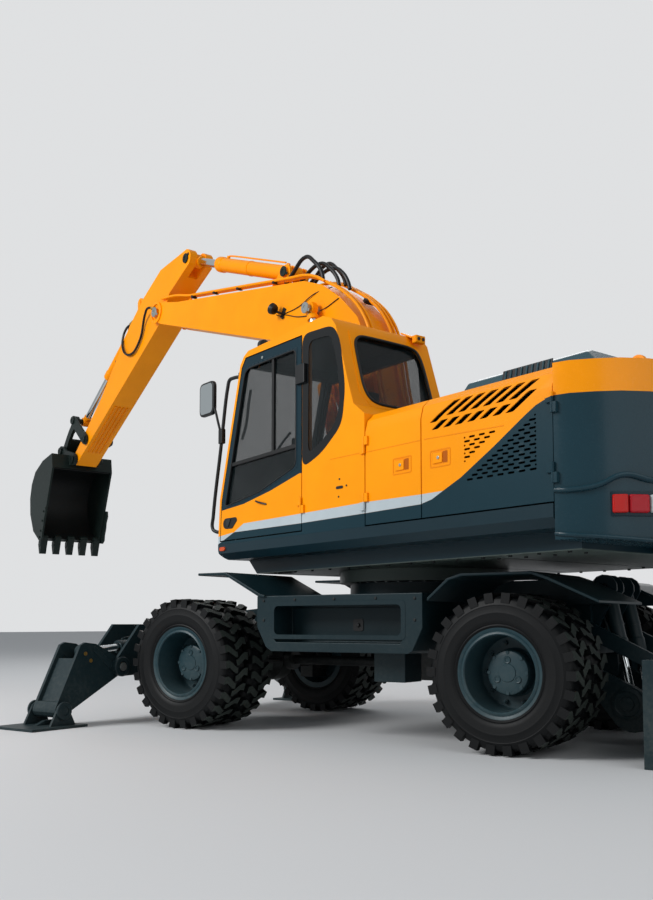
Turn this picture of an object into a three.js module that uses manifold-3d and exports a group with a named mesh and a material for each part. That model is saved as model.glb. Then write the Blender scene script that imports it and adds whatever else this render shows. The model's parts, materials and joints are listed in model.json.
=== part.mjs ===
// Wheeled excavator: undercarriage on eight twin tyres with two front outriggers and a rear blade,
// and an upper structure that swings on it with cab, engine housing, counterweight, boom, arm and bucket.
// Millimetres, +X to the front axle, +Y to the cab side, +Z up. Each assembly is built about the swing
// axis on the ground, and the whole machine is then set with the middle of its footprint on the origin.
import * as THREE from "three";
import { mergeVertices } from "three/addons/utils/BufferGeometryUtils.js";
import Module from "manifold-3d";

const wasm = await Module();
wasm.setup();

// ---- clearances -------------------------------------------------------------------------------
const SEAT_GAP = 0.3; // between pieces that bear on each other
const PIN_GAP = 1; // radial, between a pin and its bush
const RUN_GAP = 10; // between pieces that move past each other

// ---- undercarriage ----------------------------------------------------------------------------
const WHEELBASE = 2850;
const REAR_AXLE_X = -1250;
const FRONT_AXLE_X = REAR_AXLE_X + WHEELBASE;
const TYRE_RADIUS = 530;
const TYRE_WIDTH = 270;
const TWIN_GAP = 50; // between the two tyres of a pair
const BEAD_RADIUS = 275;
const RIM_WALL = 24;
const FLANGE_RADIUS = 306;
const HUB_RADIUS = 145;
const DRUM_RADIUS = 190;
const WHEEL_SIDES = 24;
const MACHINE_HALF = 1250; // outer face of the tyres, skirts and blade
const AXLE_Z = TYRE_RADIUS;
const KINGPIN_Y = 690;
const KINGPIN_RADIUS = 45;
const OUTER_TYRE_Y = MACHINE_HALF - TYRE_WIDTH / 2;
const INNER_TYRE_Y = OUTER_TYRE_Y - TYRE_WIDTH - TWIN_GAP;
const HUB_FACE_Y = 800; // inboard face of the brake drum
const FRAME_HALF = 330;
const FRAME_MID_HALF = 620;
const FRAME_MID_X = 640;
const FRAME_TOP = 1050;
const FRAME_BOTTOM = 640;
const AXLE_ARCH = 745; // underside of the frame above an axle
const REAR_FENDER_UNDERSIDE = 1172;
const BEARING_RADIUS = 610;
const BEARING_TOP = 1180;

// ---- outriggers -------------------------------------------------------------------------------
const LEG_X = FRONT_AXLE_X + 985;
const LEG_HALF = 145;
const LEG_PLATE = 28;
const LEG_HINGE = { y: 1130, z: 480 };
const LEG_PIN_RADIUS = 40;
const LEG_ROD_PIN = { y: 1410, z: 613 };
const LEG_CYLINDER_BASE = { y: 350, z: 700 };
const PAD_PIN = { y: 1745, z: 138 };
const PAD_LENGTH = 500;
const PAD_WIDTH = 560;
const PAD_THICKNESS = 20;
const BRACKET_PLATE = 30;
const BRACKET_TOP = 850;

// ---- blade ------------------------------------------------------------------------------------
const BLADE_HEIGHT = 640;
const BLADE_FACE_X = -2200;
const BLADE_THICKNESS = 110;
const ARM_PIVOT = { x: -1480, z: 500 };
const LINK_PIVOT = { x: -1500, z: 830 };
const LINK_SPAN = { x: -650, z: -320 }; // from the frame pivots to the blade pivots
const BLADE_ARM_Y = 290;
const BLADE_ARM_HALF = 30;
const BLADE_LINK_Y = 358;
const BLADE_CYLINDER_Y = 190;
const BLADE_CYLINDER_TOP = { x: -1620, z: 1110 };
const BLADE_ROD_EYE = { x: -1790, z: 300 };

// ---- upper structure --------------------------------------------------------------------------
const SWING_DEG = -17; // the upper stands turned to the right of the undercarriage
const BELLY_Z = 1280;
const SKIRT_BOTTOM = 1395;
const DECK_Z = 1528; // top of the skirt, which the cab and the housing stand on
const HOUSE_TOP = 2324;
const SKIRT_FRONT_X = 1229;
const TAIL_SEAM_X = -2385;
const TAIL_RADIUS = 2850;
const COUNTERWEIGHT_BOTTOM = 1320;
const UPPER_BEARING_RADIUS = 700;
const BEAM_TOP = 1440; // of the two beams that the boom's lugs stand on
const HOOD_FRONT_X = -1020;
const HOOD_REAR_X = -2340;
const HOOD_HALF = 640;
const HOOD_TOP = 2610;
const DOOR_WALL = 35;
const SEAM = 10; // between neighbouring panels
const MID_SEAM_X = -1305;
const CAB_SEAM_X = -735;

// ---- cab --------------------------------------------------------------------------------------
const CAB_WALL = 50;
const CAB_TOP = 3120;
const DOOR_REAR_X = 20;
const CAB_DOOR_WALL = 42;
const GLASS = 8;
const GLASS_SEAL = 0.7; // between a pane and its opening
const HINGE_RADIUS = 10;
const HINGE_LENGTH = 60; // of each half of a hinge
const HINGE_OUT = 12; // of the hinge's axis from the outer face

// ---- boom, arm and bucket ---------------------------------------------------------------------
const BOOM_Y = -60; // centre plane of the whole front attachment
const BOOM_FOOT = { x: 100, z: 1950 };
const BOOM_LENGTH = 5226;
const BOOM_ANGLE = 31.3; // of the line from foot pin to tip pin above the horizontal
const BOOM_HALF = 200;
const BOOM_LUG_HALF = BOOM_HALF + 30;
const ARM_LENGTH = 2906;
const ARM_ANGLE = -30.6; // of the line from boom pin to bucket pin
const ARM_HALF = 155;
const BUCKET_HALF = 455;
const PIN_RADIUS = 45;
const BOOM_CYLINDER_Y = BOOM_HALF + 85; // from the centre plane of the boom
const CAB_INNER_Y = BOOM_Y + BOOM_CYLINDER_Y + 100; // inner wall of the cab, clear of the boom's cylinder
const SEAT_Y = MACHINE_HALF - 450; // middle of the seat
const BOOM_CYLINDER_BASE = { x: 650, z: 1600 };
const BOOM_EYE = { x: 1970, z: 985 }; // in the boom's own frame
const ARM_CYLINDER_BASE = { x: 2850, z: 1151 }; // in the boom's own frame
const ARM_CYLINDER_PIN = { x: -803, z: 103 }; // in the arm's own frame
const BUCKET_CYLINDER_BASE = { x: 400, z: 600 }; // in the arm's own frame
const ROCKER_PIN = { x: ARM_LENGTH - 438, z: 20 };
const ROCKER_TOP = { x: ARM_LENGTH - 254, z: 513 };
const LINK_FOOT = { x: ARM_LENGTH + 282, z: 373 };

// ---- finishes ---------------------------------------------------------------------------------
const paint = (color, roughness = 0.4) => new THREE.MeshStandardMaterial({ color, roughness, metalness: 0.1 });
const ORANGE = paint("#f59a0b");
const SLATE = paint("#2c444c");
const DARK_STEEL = paint("#1d2729", 0.55);
const CHROME = new THREE.MeshStandardMaterial({ color: "#d8dcdd", roughness: 0.15, metalness: 1 });
const RUBBER = paint("#17191a", 0.85);
const BLACK_PLASTIC = paint("#15181a", 0.6);
const SEAT_CLOTH = paint("#22262a", 0.9);
const WINDOW = new THREE.MeshStandardMaterial({ color: "#49585a", roughness: 0.05, metalness: 0, opacity: 0.5 });

// ---- solids -----------------------------------------------------------------------------------
const radians = THREE.MathUtils.degToRad;

// A closed three.js geometry as a solid that can be joined and cut.
function solidOf(geometry) {
  const bare = geometry.index ? geometry.toNonIndexed() : geometry.clone();
  bare.deleteAttribute("normal");
  bare.deleteAttribute("uv");
  const merged = mergeVertices(bare, 1e-3);
  return new wasm.Manifold(
    new wasm.Mesh({
      numProp: 3,
      vertProperties: merged.attributes.position.array,
      triVerts: new Uint32Array(merged.index.array),
    }),
  );
}

function geometryOf(solid) {
  const { vertProperties, triVerts } = solid.getMesh();
  const geometry = new THREE.BufferGeometry();
  geometry.setAttribute("position", new THREE.BufferAttribute(vertProperties, 3));
  geometry.setIndex(new THREE.BufferAttribute(triVerts, 1));
  geometry.computeVertexNormals();
  return geometry;
}

const join = (...solids) => solids.reduce((all, next) => all.add(next));
const cut = (body, ...tools) => tools.reduce((left, tool) => left.subtract(tool), body);

// A box from its ranges along X, Y and Z.
function box([x0, x1], [y0, y1], [z0, z1]) {
  const block = new THREE.BoxGeometry(x1 - x0, y1 - y0, z1 - z0);
  block.translate((x0 + x1) / 2, (y0 + y1) / 2, (z0 + z1) / 2);
  return solidOf(block);
}

// An outline pushed out to a depth. Its two coordinates lie along the axes named by the frame.
function extruded(outline, depth, frame) {
  const shape = new THREE.Shape(outline.map(([a, b]) => new THREE.Vector2(a, b)));
  const block = new THREE.ExtrudeGeometry(shape, { depth, bevelEnabled: false });
  block.applyMatrix4(frame);
  return solidOf(block);
}

const X = new THREE.Vector3(1, 0, 0);
const Y = new THREE.Vector3(0, 1, 0);
const Z = new THREE.Vector3(0, 0, 1);
const SIDE_FRAME = new THREE.Matrix4().makeBasis(X, Z, Y.clone().negate());
const CROSS_FRAME = new THREE.Matrix4().makeBasis(Y, Z, X);
const PLAN_FRAME = new THREE.Matrix4();

// An (x, z) outline between two values of y.
function sidePlate(outline, y0, y1) {
  return extruded(outline, y1 - y0, SIDE_FRAME).translate(0, y1, 0);
}

// A (y, z) outline between two values of x.
function crossPlate(outline, x0, x1) {
  return extruded(outline, x1 - x0, CROSS_FRAME).translate(x0, 0, 0);
}

// An (x, y) outline between two values of z.
function planPlate(outline, z0, z1) {
  return extruded(outline, z1 - z0, PLAN_FRAME).translate(0, 0, z0);
}

// A round bar between two points.
function bar(from, to, radius, sides = 16) {
  const a = new THREE.Vector3(...from);
  const b = new THREE.Vector3(...to);
  const along = b.clone().sub(a);
  const block = new THREE.CylinderGeometry(radius, radius, along.length(), sides);
  block.applyQuaternion(new THREE.Quaternion().setFromUnitVectors(Y, along.clone().normalize()));
  block.translate(...a.add(b).multiplyScalar(0.5).toArray());
  return solidOf(block);
}

// Sides of a pin, so many that its bore's flats stay clear of it.
const pinSides = (radius) => Math.max(16, 2 * Math.ceil(Math.PI / Math.acos(radius / (radius + PIN_GAP)) / 2));

// A round pin or bore across the machine at an (x, z) point.
function pinAcross(at, y0, y1, radius = PIN_RADIUS, sides = pinSides(radius)) {
  return bar([at.x, y0, at.z], [at.x, y1, at.z], radius, sides);
}

// A round pin or bore along the machine at a (y, z) point.
function pinAlong(at, x0, x1, radius = PIN_RADIUS, sides = pinSides(radius)) {
  return bar([x0, at.y, at.z], [x1, at.y, at.z], radius, sides);
}

// A solid of revolution about the Y axis from a closed (radius, y) outline.
function turned(outline, sides = WHEEL_SIDES) {
  const points = outline.map(([r, y]) => new THREE.Vector2(r, y));
  const closed = [...points, points[0].clone()];
  const made = solidOf(new THREE.LatheGeometry(closed, sides));
  return made.volume() > 0 ? made : solidOf(new THREE.LatheGeometry(closed.reverse(), sides));
}

// Points on an arc, angles in degrees.
function arc(cx, cy, radius, from, to, steps = 6) {
  return Array.from({ length: steps + 1 }, (_, i) => {
    const angle = radians(from + ((to - from) * i) / steps);
    return [cx + radius * Math.cos(angle), cy + radius * Math.sin(angle)];
  });
}

// An outline round two bosses, as a strap or a link between two pins.
function strapOutline(a, ra, b, rb) {
  const heading = THREE.MathUtils.radToDeg(Math.atan2(b.z - a.z, b.x - a.x));
  return [...arc(a.x, a.z, ra, heading + 90, heading + 270), ...arc(b.x, b.z, rb, heading - 90, heading + 90)];
}

// Half of an upright hinge on the left face, with a lug that reaches back to the panel it belongs to.
function hingeHalf(x, lugX, z, fixed) {
  const y = MACHINE_HALF + HINGE_OUT;
  const low = fixed ? z - HINGE_LENGTH : z;
  const high = low + HINGE_LENGTH - (fixed ? SEAT_GAP : 0);
  const barrel = bar([x, y, low], [x, y, high], HINGE_RADIUS, 12);
  const root = x + Math.sign(lugX - x) * 3;
  const lug = box([Math.min(root, lugX), Math.max(root, lugX)], [MACHINE_HALF - 6, y + 4], [low, high]);
  const pin = [x, y, z - HINGE_LENGTH / 2];
  const top = [x, y, z + HINGE_LENGTH - 5];
  const radius = HINGE_RADIUS / 2;
  const leaf = join(barrel, lug);
  return fixed ? join(leaf, bar(pin, top, radius, 12)) : cut(leaf, bar(pin, top, radius + PIN_GAP, 12));
}

// Both halves' positions for a panel: the axis, and where each lug reaches.
const CAB_DOOR_HINGE = {
  x: DOOR_REAR_X - SEAM / 2, door: DOOR_REAR_X + 45, frame: DOOR_REAR_X - 45, heights: [1750, 2760],
};
const FRONT_DOOR_HINGE = {
  x: CAB_SEAM_X, door: CAB_SEAM_X - 40, frame: CAB_SEAM_X + 40, heights: [1700, 2100],
};
const REAR_DOOR_HINGE = {
  x: TAIL_SEAM_X, door: TAIL_SEAM_X + 45, frame: TAIL_SEAM_X - 30, heights: [1700, 2100],
};
const doorHinges = (hinge) => join(...hinge.heights.map((z) => hingeHalf(hinge.x, hinge.door, z, false)));
const frameHinges = (hinge) => join(...hinge.heights.map((z) => hingeHalf(hinge.x, hinge.frame, z, true)));

const mirrorY = (solid) => solid.mirror([0, 1, 0]);
const bothSides = (solid) => join(solid, mirrorY(solid));

function addPiece(group, name, solid, finish) {
  const mesh = new THREE.Mesh(geometryOf(solid), finish);
  mesh.name = name;
  group.add(mesh);
  return mesh;
}

function subgroup(parent, x = 0, y = 0, z = 0) {
  const group = new THREE.Group();
  group.position.set(x, y, z);
  parent.add(group);
  return group;
}

// ---- hydraulic cylinders ----------------------------------------------------------------------
// A cylinder lies along +X from its base eye at the origin. Its group is turned to point at the rod's eye.
// The barrel is open at its mouth, and the rod slides in it.
function cylinderPair(parent, names, base, eye, size, offsets = [0]) {
  const length = Math.hypot(eye.x - base.x, eye.z - base.z);
  const group = subgroup(parent, base.x, base.y ?? 0, base.z);
  group.rotation.y = -Math.atan2(eye.z - base.z, eye.x - base.x);
  const half = size.eyeWidth / 2;
  const barrels = offsets.map((y) => {
    const eyeRing = bar([0, y - half, 0], [0, y + half, 0], size.eyeRadius);
    const tube = bar([size.eyeRadius * 0.6, y, 0], [size.barrel - size.gland / 2, y, 0], size.radius);
    const gland = bar([size.barrel - size.gland, y, 0], [size.barrel, y, 0], size.radius * 1.12);
    const bore = bar([size.floor, y, 0], [size.barrel + 1, y, 0], size.rod + PIN_GAP);
    return cut(join(eyeRing, tube, gland), bore);
  });
  const pivot = { x: 0, z: 0 };
  const pins = size.pinAcross ? [pinAcross(pivot, -size.pinAcross, size.pinAcross, size.pin)] : [];
  const bores = size.pinAcross ? [] : [pinAcross(pivot, -2000, 2000, size.pin + PIN_GAP)];
  addPiece(group, names.barrel, cut(join(...barrels, ...pins), ...bores), size.finish);
  offsets.forEach((y, i) => {
    const eyeRing = bar([length, y - half, 0], [length, y + half, 0], size.eyeRadius);
    const shaft = bar([length - size.rodLength, y, 0], [length - size.eyeRadius * 0.6, y, 0], size.rod);
    addPiece(group, names.rods[i], join(eyeRing, shaft), CHROME);
  });
}

// ---- undercarriage pieces ---------------------------------------------------------------------
// Two tyres and the band between their beads, on one bore.
function twinTyres() {
  const half = TYRE_WIDTH / 2;
  const shoulder = [TYRE_RADIUS - 30, half - 14];
  const crown = [TYRE_RADIUS, half - 42];
  const wall = [BEAD_RADIUS + 125, half];
  const side = (y, sign) => [wall, shoulder, crown].map(([r, w]) => [r, y + sign * w]);
  return turned([
    [BEAD_RADIUS, OUTER_TYRE_Y + half - 43],
    [BEAD_RADIUS + 40, OUTER_TYRE_Y + half - 28],
    ...side(OUTER_TYRE_Y, 1),
    ...side(OUTER_TYRE_Y, -1).reverse(),
    [BEAD_RADIUS + 60, OUTER_TYRE_Y - half + 18],
    [BEAD_RADIUS + 60, INNER_TYRE_Y + half - 18],
    ...side(INNER_TYRE_Y, 1),
    ...side(INNER_TYRE_Y, -1).reverse(),
    [BEAD_RADIUS + 40, INNER_TYRE_Y - half + 28],
    [BEAD_RADIUS, INNER_TYRE_Y - half + 43],
  ]);
}

// Both rims with the disc and the planetary hub.
function twinWheel() {
  const half = TYRE_WIDTH / 2;
  const outer = OUTER_TYRE_Y + half;
  const inner = INNER_TYRE_Y - half;
  const seat = BEAD_RADIUS - SEAT_GAP;
  const bore = BEAD_RADIUS - RIM_WALL;
  const discY = (OUTER_TYRE_Y + INNER_TYRE_Y) / 2;
  return turned([
    [0, outer - 145],
    [HUB_RADIUS - 12, outer - 145],
    [HUB_RADIUS, outer - 158],
    [HUB_RADIUS, discY + 20],
    [bore, discY + 20],
    [bore, outer - 19],
    [FLANGE_RADIUS, outer - 19],
    [FLANGE_RADIUS, outer - 30],
    [seat, outer - 42],
    [seat, inner + 42],
    [FLANGE_RADIUS, inner + 30],
    [FLANGE_RADIUS, inner + 19],
    [bore, inner + 19],
    [bore, discY - 20],
    [DRUM_RADIUS, discY - 20],
    [DRUM_RADIUS, HUB_FACE_Y],
    [0, HUB_FACE_Y],
  ]);
}

// Rectangle as an outline.
const rectangle = (a0, a1, b0, b1) => [[a0, b0], [a1, b0], [a1, b1], [a0, b1]];

function chassisFrame() {
  const rearEnd = ARM_PIVOT.x - 60;
  const sideProfile = [
    [rearEnd, FRAME_BOTTOM],
    [REAR_AXLE_X - 170, FRAME_BOTTOM],
    [REAR_AXLE_X - 150, AXLE_ARCH],
    [REAR_AXLE_X + 150, AXLE_ARCH],
    [REAR_AXLE_X + 250, FRAME_BOTTOM],
    [FRONT_AXLE_X - 320, FRAME_BOTTOM],
    [FRONT_AXLE_X - 220, AXLE_ARCH],
    [FRONT_AXLE_X + 220, AXLE_ARCH],
    [FRONT_AXLE_X + 320, FRAME_BOTTOM],
    [LEG_X - 160, 560],
    [LEG_X - 160, BRACKET_TOP],
    [FRONT_AXLE_X + 250, 960],
    [FRAME_MID_X + 150, FRAME_TOP],
    [-FRAME_MID_X - 100, FRAME_TOP],
    [rearEnd, 990],
  ];
  const spine = sidePlate(sideProfile, -FRAME_HALF, FRAME_HALF);
  const middle = box([-FRAME_MID_X, FRAME_MID_X], [-FRAME_MID_HALF, FRAME_MID_HALF], [700, FRAME_TOP]);
  const bearing = bar([0, 0, FRAME_TOP - 10], [0, 0, BEARING_TOP], BEARING_RADIUS, 32);
  const fenderSeats = box(
    [REAR_AXLE_X - 60, REAR_AXLE_X + 60],
    [-FRAME_HALF - 100, FRAME_HALF + 100],
    [FRAME_TOP - 80, REAR_FENDER_UNDERSIDE - SEAT_GAP],
  );
  return cut(
    join(spine, middle, bearing, fenderSeats, outriggerBeam(), bladeMount()),
    box([-FRAME_MID_X + 60, FRAME_MID_X - 60], [-FRAME_MID_HALF + 60, FRAME_MID_HALF - 60], [0, FRAME_TOP - 40]),
  );
}

// The cross beam at the front, forked at both ends round the outrigger legs.
function outriggerBeam() {
  const plate = [
    [250, 430],
    [LEG_HINGE.y, LEG_HINGE.z - 85],
    ...arc(LEG_HINGE.y, LEG_HINGE.z, 85, -60, 60, 4),
    [LEG_HINGE.y - 215, BRACKET_TOP],
    [250, BRACKET_TOP],
  ];
  const inside = LEG_HALF + RUN_GAP;
  const side = join(
    crossPlate(plate, LEG_X - inside - BRACKET_PLATE, LEG_X - inside),
    crossPlate(plate, LEG_X + inside, LEG_X + inside + BRACKET_PLATE),
  );
  const hinge = pinAlong(LEG_HINGE, LEG_X - 400, LEG_X + 400, LEG_PIN_RADIUS + PIN_GAP);
  const outer = inside + BRACKET_PLATE;
  const heart = box([LEG_X - outer, LEG_X + outer], [-260, 260], [430, BRACKET_TOP]);
  const cylinderPin = pinAlong(LEG_CYLINDER_BASE, LEG_X - outer, LEG_X + outer, 28);
  return join(bothSides(join(cut(side, hinge), cylinderPin)), heart);
}

// Lugs behind the rear axle for the blade's arms, links and cylinders.
function bladeMount() {
  const root = ARM_PIVOT.x - 60;
  const armLug = sidePlate(
    [[root, FRAME_BOTTOM + 60], [root + 140, FRAME_BOTTOM + 60], ...arc(ARM_PIVOT.x, ARM_PIVOT.z, 70, 0, -180)],
    BLADE_ARM_Y - BLADE_ARM_HALF - RUN_GAP - 35,
    BLADE_ARM_Y - BLADE_ARM_HALF - RUN_GAP,
  );
  const armPin = pinAcross(ARM_PIVOT, BLADE_ARM_Y - BLADE_ARM_HALF - 30, BLADE_ARM_Y + BLADE_ARM_HALF + 12, 40);
  const linkPin = pinAcross(LINK_PIVOT, FRAME_HALF - 20, BLADE_LINK_Y + 30, 30);
  const top = BLADE_CYLINDER_TOP;
  const tower = [
    [root + 80, FRAME_BOTTOM + 60],
    ...arc(top.x, top.z, 95, 30, 190),
    [root, FRAME_BOTTOM + 120],
  ];
  const towers = join(
    ...[-82, 64].map((offset) => sidePlate(tower, BLADE_CYLINDER_Y + offset, BLADE_CYLINDER_Y + offset + 18)),
  );
  const bore = pinAcross(top, 100, 400, 30 + PIN_GAP);
  return bothSides(join(armLug, armPin, linkPin, cut(towers, bore)));
}

// Storage box under the cab side with a step let into it, and the front fender that rises from its top.
function stepBox() {
  const boxTop = 1068;
  const boxBottom = 645;
  const body = [
    [-679, boxTop], [-679, 820], [-600, boxBottom + 20], [-560, boxBottom],
    [650, boxBottom], [700, boxBottom + 30], [788, 830], [788, boxTop],
  ];
  const recess = [[-500, 715], [600, 715], [630, 745], [640, 1000], [-525, 1000], [-515, 735]];
  const fender = [
    [700, boxTop - 12], [760, boxTop - 6], [1109, 1240], [1384, 1245],
    [1384, 1262], [1100, 1262], [740, boxTop + 14], [700, boxTop + 6],
  ];
  return join(
    cut(
      sidePlate(body, FRAME_MID_HALF + SEAT_GAP, MACHINE_HALF - 30),
      sidePlate(recess, MACHINE_HALF - 280, MACHINE_HALF),
    ),
    sidePlate(fender, FRAME_HALF + 40, MACHINE_HALF - 10),
    box([-410, -145], [760, 1000], [430, boxBottom + 5]),
  );
}

function rearFenders() {
  const top = [[-726, 1030], [-880, 1160], [-987, 1190], [-1486, 1190], [-1600, 1150], [-1926, 998]];
  const under = [[-1926, 980], [-1592, 1131], [-1480, REAR_FENDER_UNDERSIDE], [-993, REAR_FENDER_UNDERSIDE]];
  const plate = sidePlate([...top, ...under, [-893, 1145], [-726, 1006]], FRAME_HALF + 60, MACHINE_HALF - 10);
  const stay = box([REAR_AXLE_X - 55, REAR_AXLE_X + 55], [-FRAME_HALF - 90, FRAME_HALF + 90], [1174, 1190]);
  return join(bothSides(plate), stay);
}

function axleBeam(reach, radius) {
  const bulge = turned([[0, 190], [120, 170], [185, 80], [190, 0], [185, -80], [120, -170], [0, -190]], 16);
  return join(bar([0, -reach, 0], [0, reach, 0], radius), bulge);
}

// Steering axle: a beam with a fork at each end that holds the knuckle's kingpin.
function frontAxle() {
  const fork = join(
    box([-70, 70], [KINGPIN_Y - 170, KINGPIN_Y + 60], [125, 185]),
    box([-70, 70], [KINGPIN_Y - 170, KINGPIN_Y + 60], [-185, -125]),
    box([-70, 70], [KINGPIN_Y - 170, KINGPIN_Y - 115], [-185, 185]),
  );
  const bore = bar([0, KINGPIN_Y, -250], [0, KINGPIN_Y, 250], KINGPIN_RADIUS + PIN_GAP);
  const trunnion = box([-130, 130], [-110, 110], [150, AXLE_ARCH - AXLE_Z - SEAT_GAP]);
  return join(axleBeam(KINGPIN_Y - 150, 85), bothSides(cut(fork, bore)), trunnion);
}

// Knuckle about its kingpin, for the left side.
function knuckle() {
  const face = HUB_FACE_Y - KINGPIN_Y - SEAT_GAP;
  return join(
    bar([0, 0, -190], [0, 0, 190], KINGPIN_RADIUS),
    box([-75, 75], [-50, 70], [-115, 115]),
    bar([0, 60, 0], [0, face, 0], 112),
  );
}

function rearAxle() {
  const flange = bar([0, HUB_FACE_Y - 90, 0], [0, HUB_FACE_Y - SEAT_GAP, 0], 150);
  const block = box([-110, 110], [200, 300], [60, AXLE_ARCH - AXLE_Z - SEAT_GAP]);
  return join(axleBeam(HUB_FACE_Y - 10, 100), bothSides(join(flange, block)), driveLine());
}

// Gearbox and the shaft that runs forward from the rear axle's nose to the steering axle.
function driveLine() {
  const reach = WHEELBASE - 190 - SEAT_GAP;
  return join(
    bar([150, 0, 0], [reach, 0, 0], 42),
    box([920, 1310], [-190, 190], [-130, 160]),
    bar([1100, 0, 0], [1100, 0, FRAME_TOP - 40 - AXLE_Z - SEAT_GAP], 120),
    bar([150, 0, 0], [270, 0, 0], 90),
    bar([reach - 70, 0, 0], [reach, 0, 0], 90),
  );
}

function outriggerLeg() {
  const outline = [
    [LEG_HINGE.y - 20, LEG_HINGE.z - 72],
    [PAD_PIN.y - 45, PAD_PIN.z - 40],
    ...arc(PAD_PIN.y, PAD_PIN.z, 60, -110, 20, 4),
    [LEG_ROD_PIN.y + 140, LEG_ROD_PIN.z + 60],
    [LEG_ROD_PIN.y + 90, LEG_ROD_PIN.z + 82],
    [LEG_ROD_PIN.y - 30, LEG_ROD_PIN.z + 68],
    ...arc(LEG_HINGE.y, LEG_HINGE.z, 74, 110, 240, 5),
  ];
  const channel = [
    [LEG_HINGE.y - 150, LEG_HINGE.z - 100],
    [LEG_HINGE.y + 60, LEG_HINGE.z - 60],
    [PAD_PIN.y - 170, PAD_PIN.z + 90],
    [LEG_ROD_PIN.y + 95, LEG_ROD_PIN.z - 30],
    [LEG_ROD_PIN.y + 85, LEG_ROD_PIN.z + 120],
    [LEG_HINGE.y - 150, LEG_HINGE.z + 250],
  ];
  const foot = pinAlong(PAD_PIN, LEG_X - 400, LEG_X + 400, LEG_PIN_RADIUS + PIN_GAP);
  const body = crossPlate(outline, LEG_X - LEG_HALF, LEG_X + LEG_HALF);
  const inner = LEG_HALF - LEG_PLATE;
  const reach = LEG_HALF + RUN_GAP + BRACKET_PLATE + 18;
  return join(
    cut(body, crossPlate(channel, LEG_X - inner, LEG_X + inner), foot),
    pinAlong(LEG_HINGE, LEG_X - reach, LEG_X + reach, LEG_PIN_RADIUS),
  );
}

function outriggerPad() {
  const lug = [[PAD_PIN.y - 130, PAD_THICKNESS - 5], [PAD_PIN.y + 130, PAD_THICKNESS - 5]];
  const outline = [...lug, ...arc(PAD_PIN.y, PAD_PIN.z, 62, 10, 170, 5)];
  const gap = LEG_HALF + RUN_GAP;
  const centre = PAD_PIN.y + 85;
  return join(
    box(
      [LEG_X - PAD_LENGTH / 2, LEG_X + PAD_LENGTH / 2], [centre - PAD_WIDTH / 2, centre + PAD_WIDTH / 2],
      [0, PAD_THICKNESS],
    ),
    crossPlate(outline, LEG_X - gap - 22, LEG_X - gap),
    crossPlate(outline, LEG_X + gap, LEG_X + gap + 22),
    pinAlong(PAD_PIN, LEG_X - gap - 35, LEG_X + gap + 35, LEG_PIN_RADIUS),
  );
}

function bladePlate() {
  const back = BLADE_FACE_X - BLADE_THICKNESS;
  const section = [
    [BLADE_FACE_X, 60], [BLADE_FACE_X, BLADE_HEIGHT - 40], [BLADE_FACE_X - 60, BLADE_HEIGHT],
    [back, BLADE_HEIGHT], [back + 45, BLADE_HEIGHT / 2], [back, 60], [back - 25, 0], [back + 30, 0],
  ];
  const endPlate = [
    [BLADE_FACE_X + 20, 0], [BLADE_FACE_X + 20, BLADE_HEIGHT], [back - 20, BLADE_HEIGHT], [back - 45, 0],
  ];
  const lugs = (pivot, inner, outer) => {
    const outline = [
      ...arc(pivot.x, pivot.z, 62, -90, 90, 5), [BLADE_FACE_X - 10, pivot.z + 80], [BLADE_FACE_X - 10, pivot.z - 80],
    ];
    return sidePlate(outline, inner, outer);
  };
  const low = { x: ARM_PIVOT.x + LINK_SPAN.x, z: ARM_PIVOT.z + LINK_SPAN.z };
  const high = { x: LINK_PIVOT.x + LINK_SPAN.x, z: LINK_PIVOT.z + LINK_SPAN.z };
  const armGap = BLADE_ARM_HALF + RUN_GAP;
  return join(
    sidePlate(section, -MACHINE_HALF + 25, MACHINE_HALF - 25),
    bothSides(
      join(
        sidePlate(endPlate, MACHINE_HALF - 30, MACHINE_HALF),
        lugs(low, BLADE_ARM_Y - armGap - 28, BLADE_ARM_Y - armGap),
        lugs(low, BLADE_ARM_Y + armGap, BLADE_ARM_Y + armGap + 28),
        pinAcross(low, BLADE_ARM_Y - armGap - 5, BLADE_ARM_Y + armGap + 5, 35),
        lugs(high, BLADE_LINK_Y + 32, BLADE_LINK_Y + 57),
        pinAcross(high, BLADE_LINK_Y - 28, BLADE_LINK_Y + 40, 30),
      ),
    ),
  );
}

function bladeArms() {
  const end = { x: ARM_PIVOT.x + LINK_SPAN.x, z: ARM_PIVOT.z + LINK_SPAN.z };
  const outline = [
    ...arc(ARM_PIVOT.x, ARM_PIVOT.z, 75, 20, 120, 4),
    [BLADE_ROD_EYE.x - 40, BLADE_ROD_EYE.z + 120],
    ...arc(end.x, end.z, 55, 100, 240, 4),
    ...arc(BLADE_ROD_EYE.x - 30, BLADE_ROD_EYE.z - 30, 165, 250, 310, 4),
  ];
  const plate = sidePlate(outline, BLADE_ARM_Y - BLADE_ARM_HALF, BLADE_ARM_Y + BLADE_ARM_HALF);
  const pivot = pinAcross(ARM_PIVOT, 0, 600, 40 + PIN_GAP);
  const foot = pinAcross(end, 0, 600, 35 + PIN_GAP);
  const tie = { x: BLADE_ROD_EYE.x - 215, z: BLADE_ROD_EYE.z - 50 };
  return join(bothSides(cut(plate, pivot, foot)), pinAcross(tie, -BLADE_ARM_Y, BLADE_ARM_Y, 55, 16));
}

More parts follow.
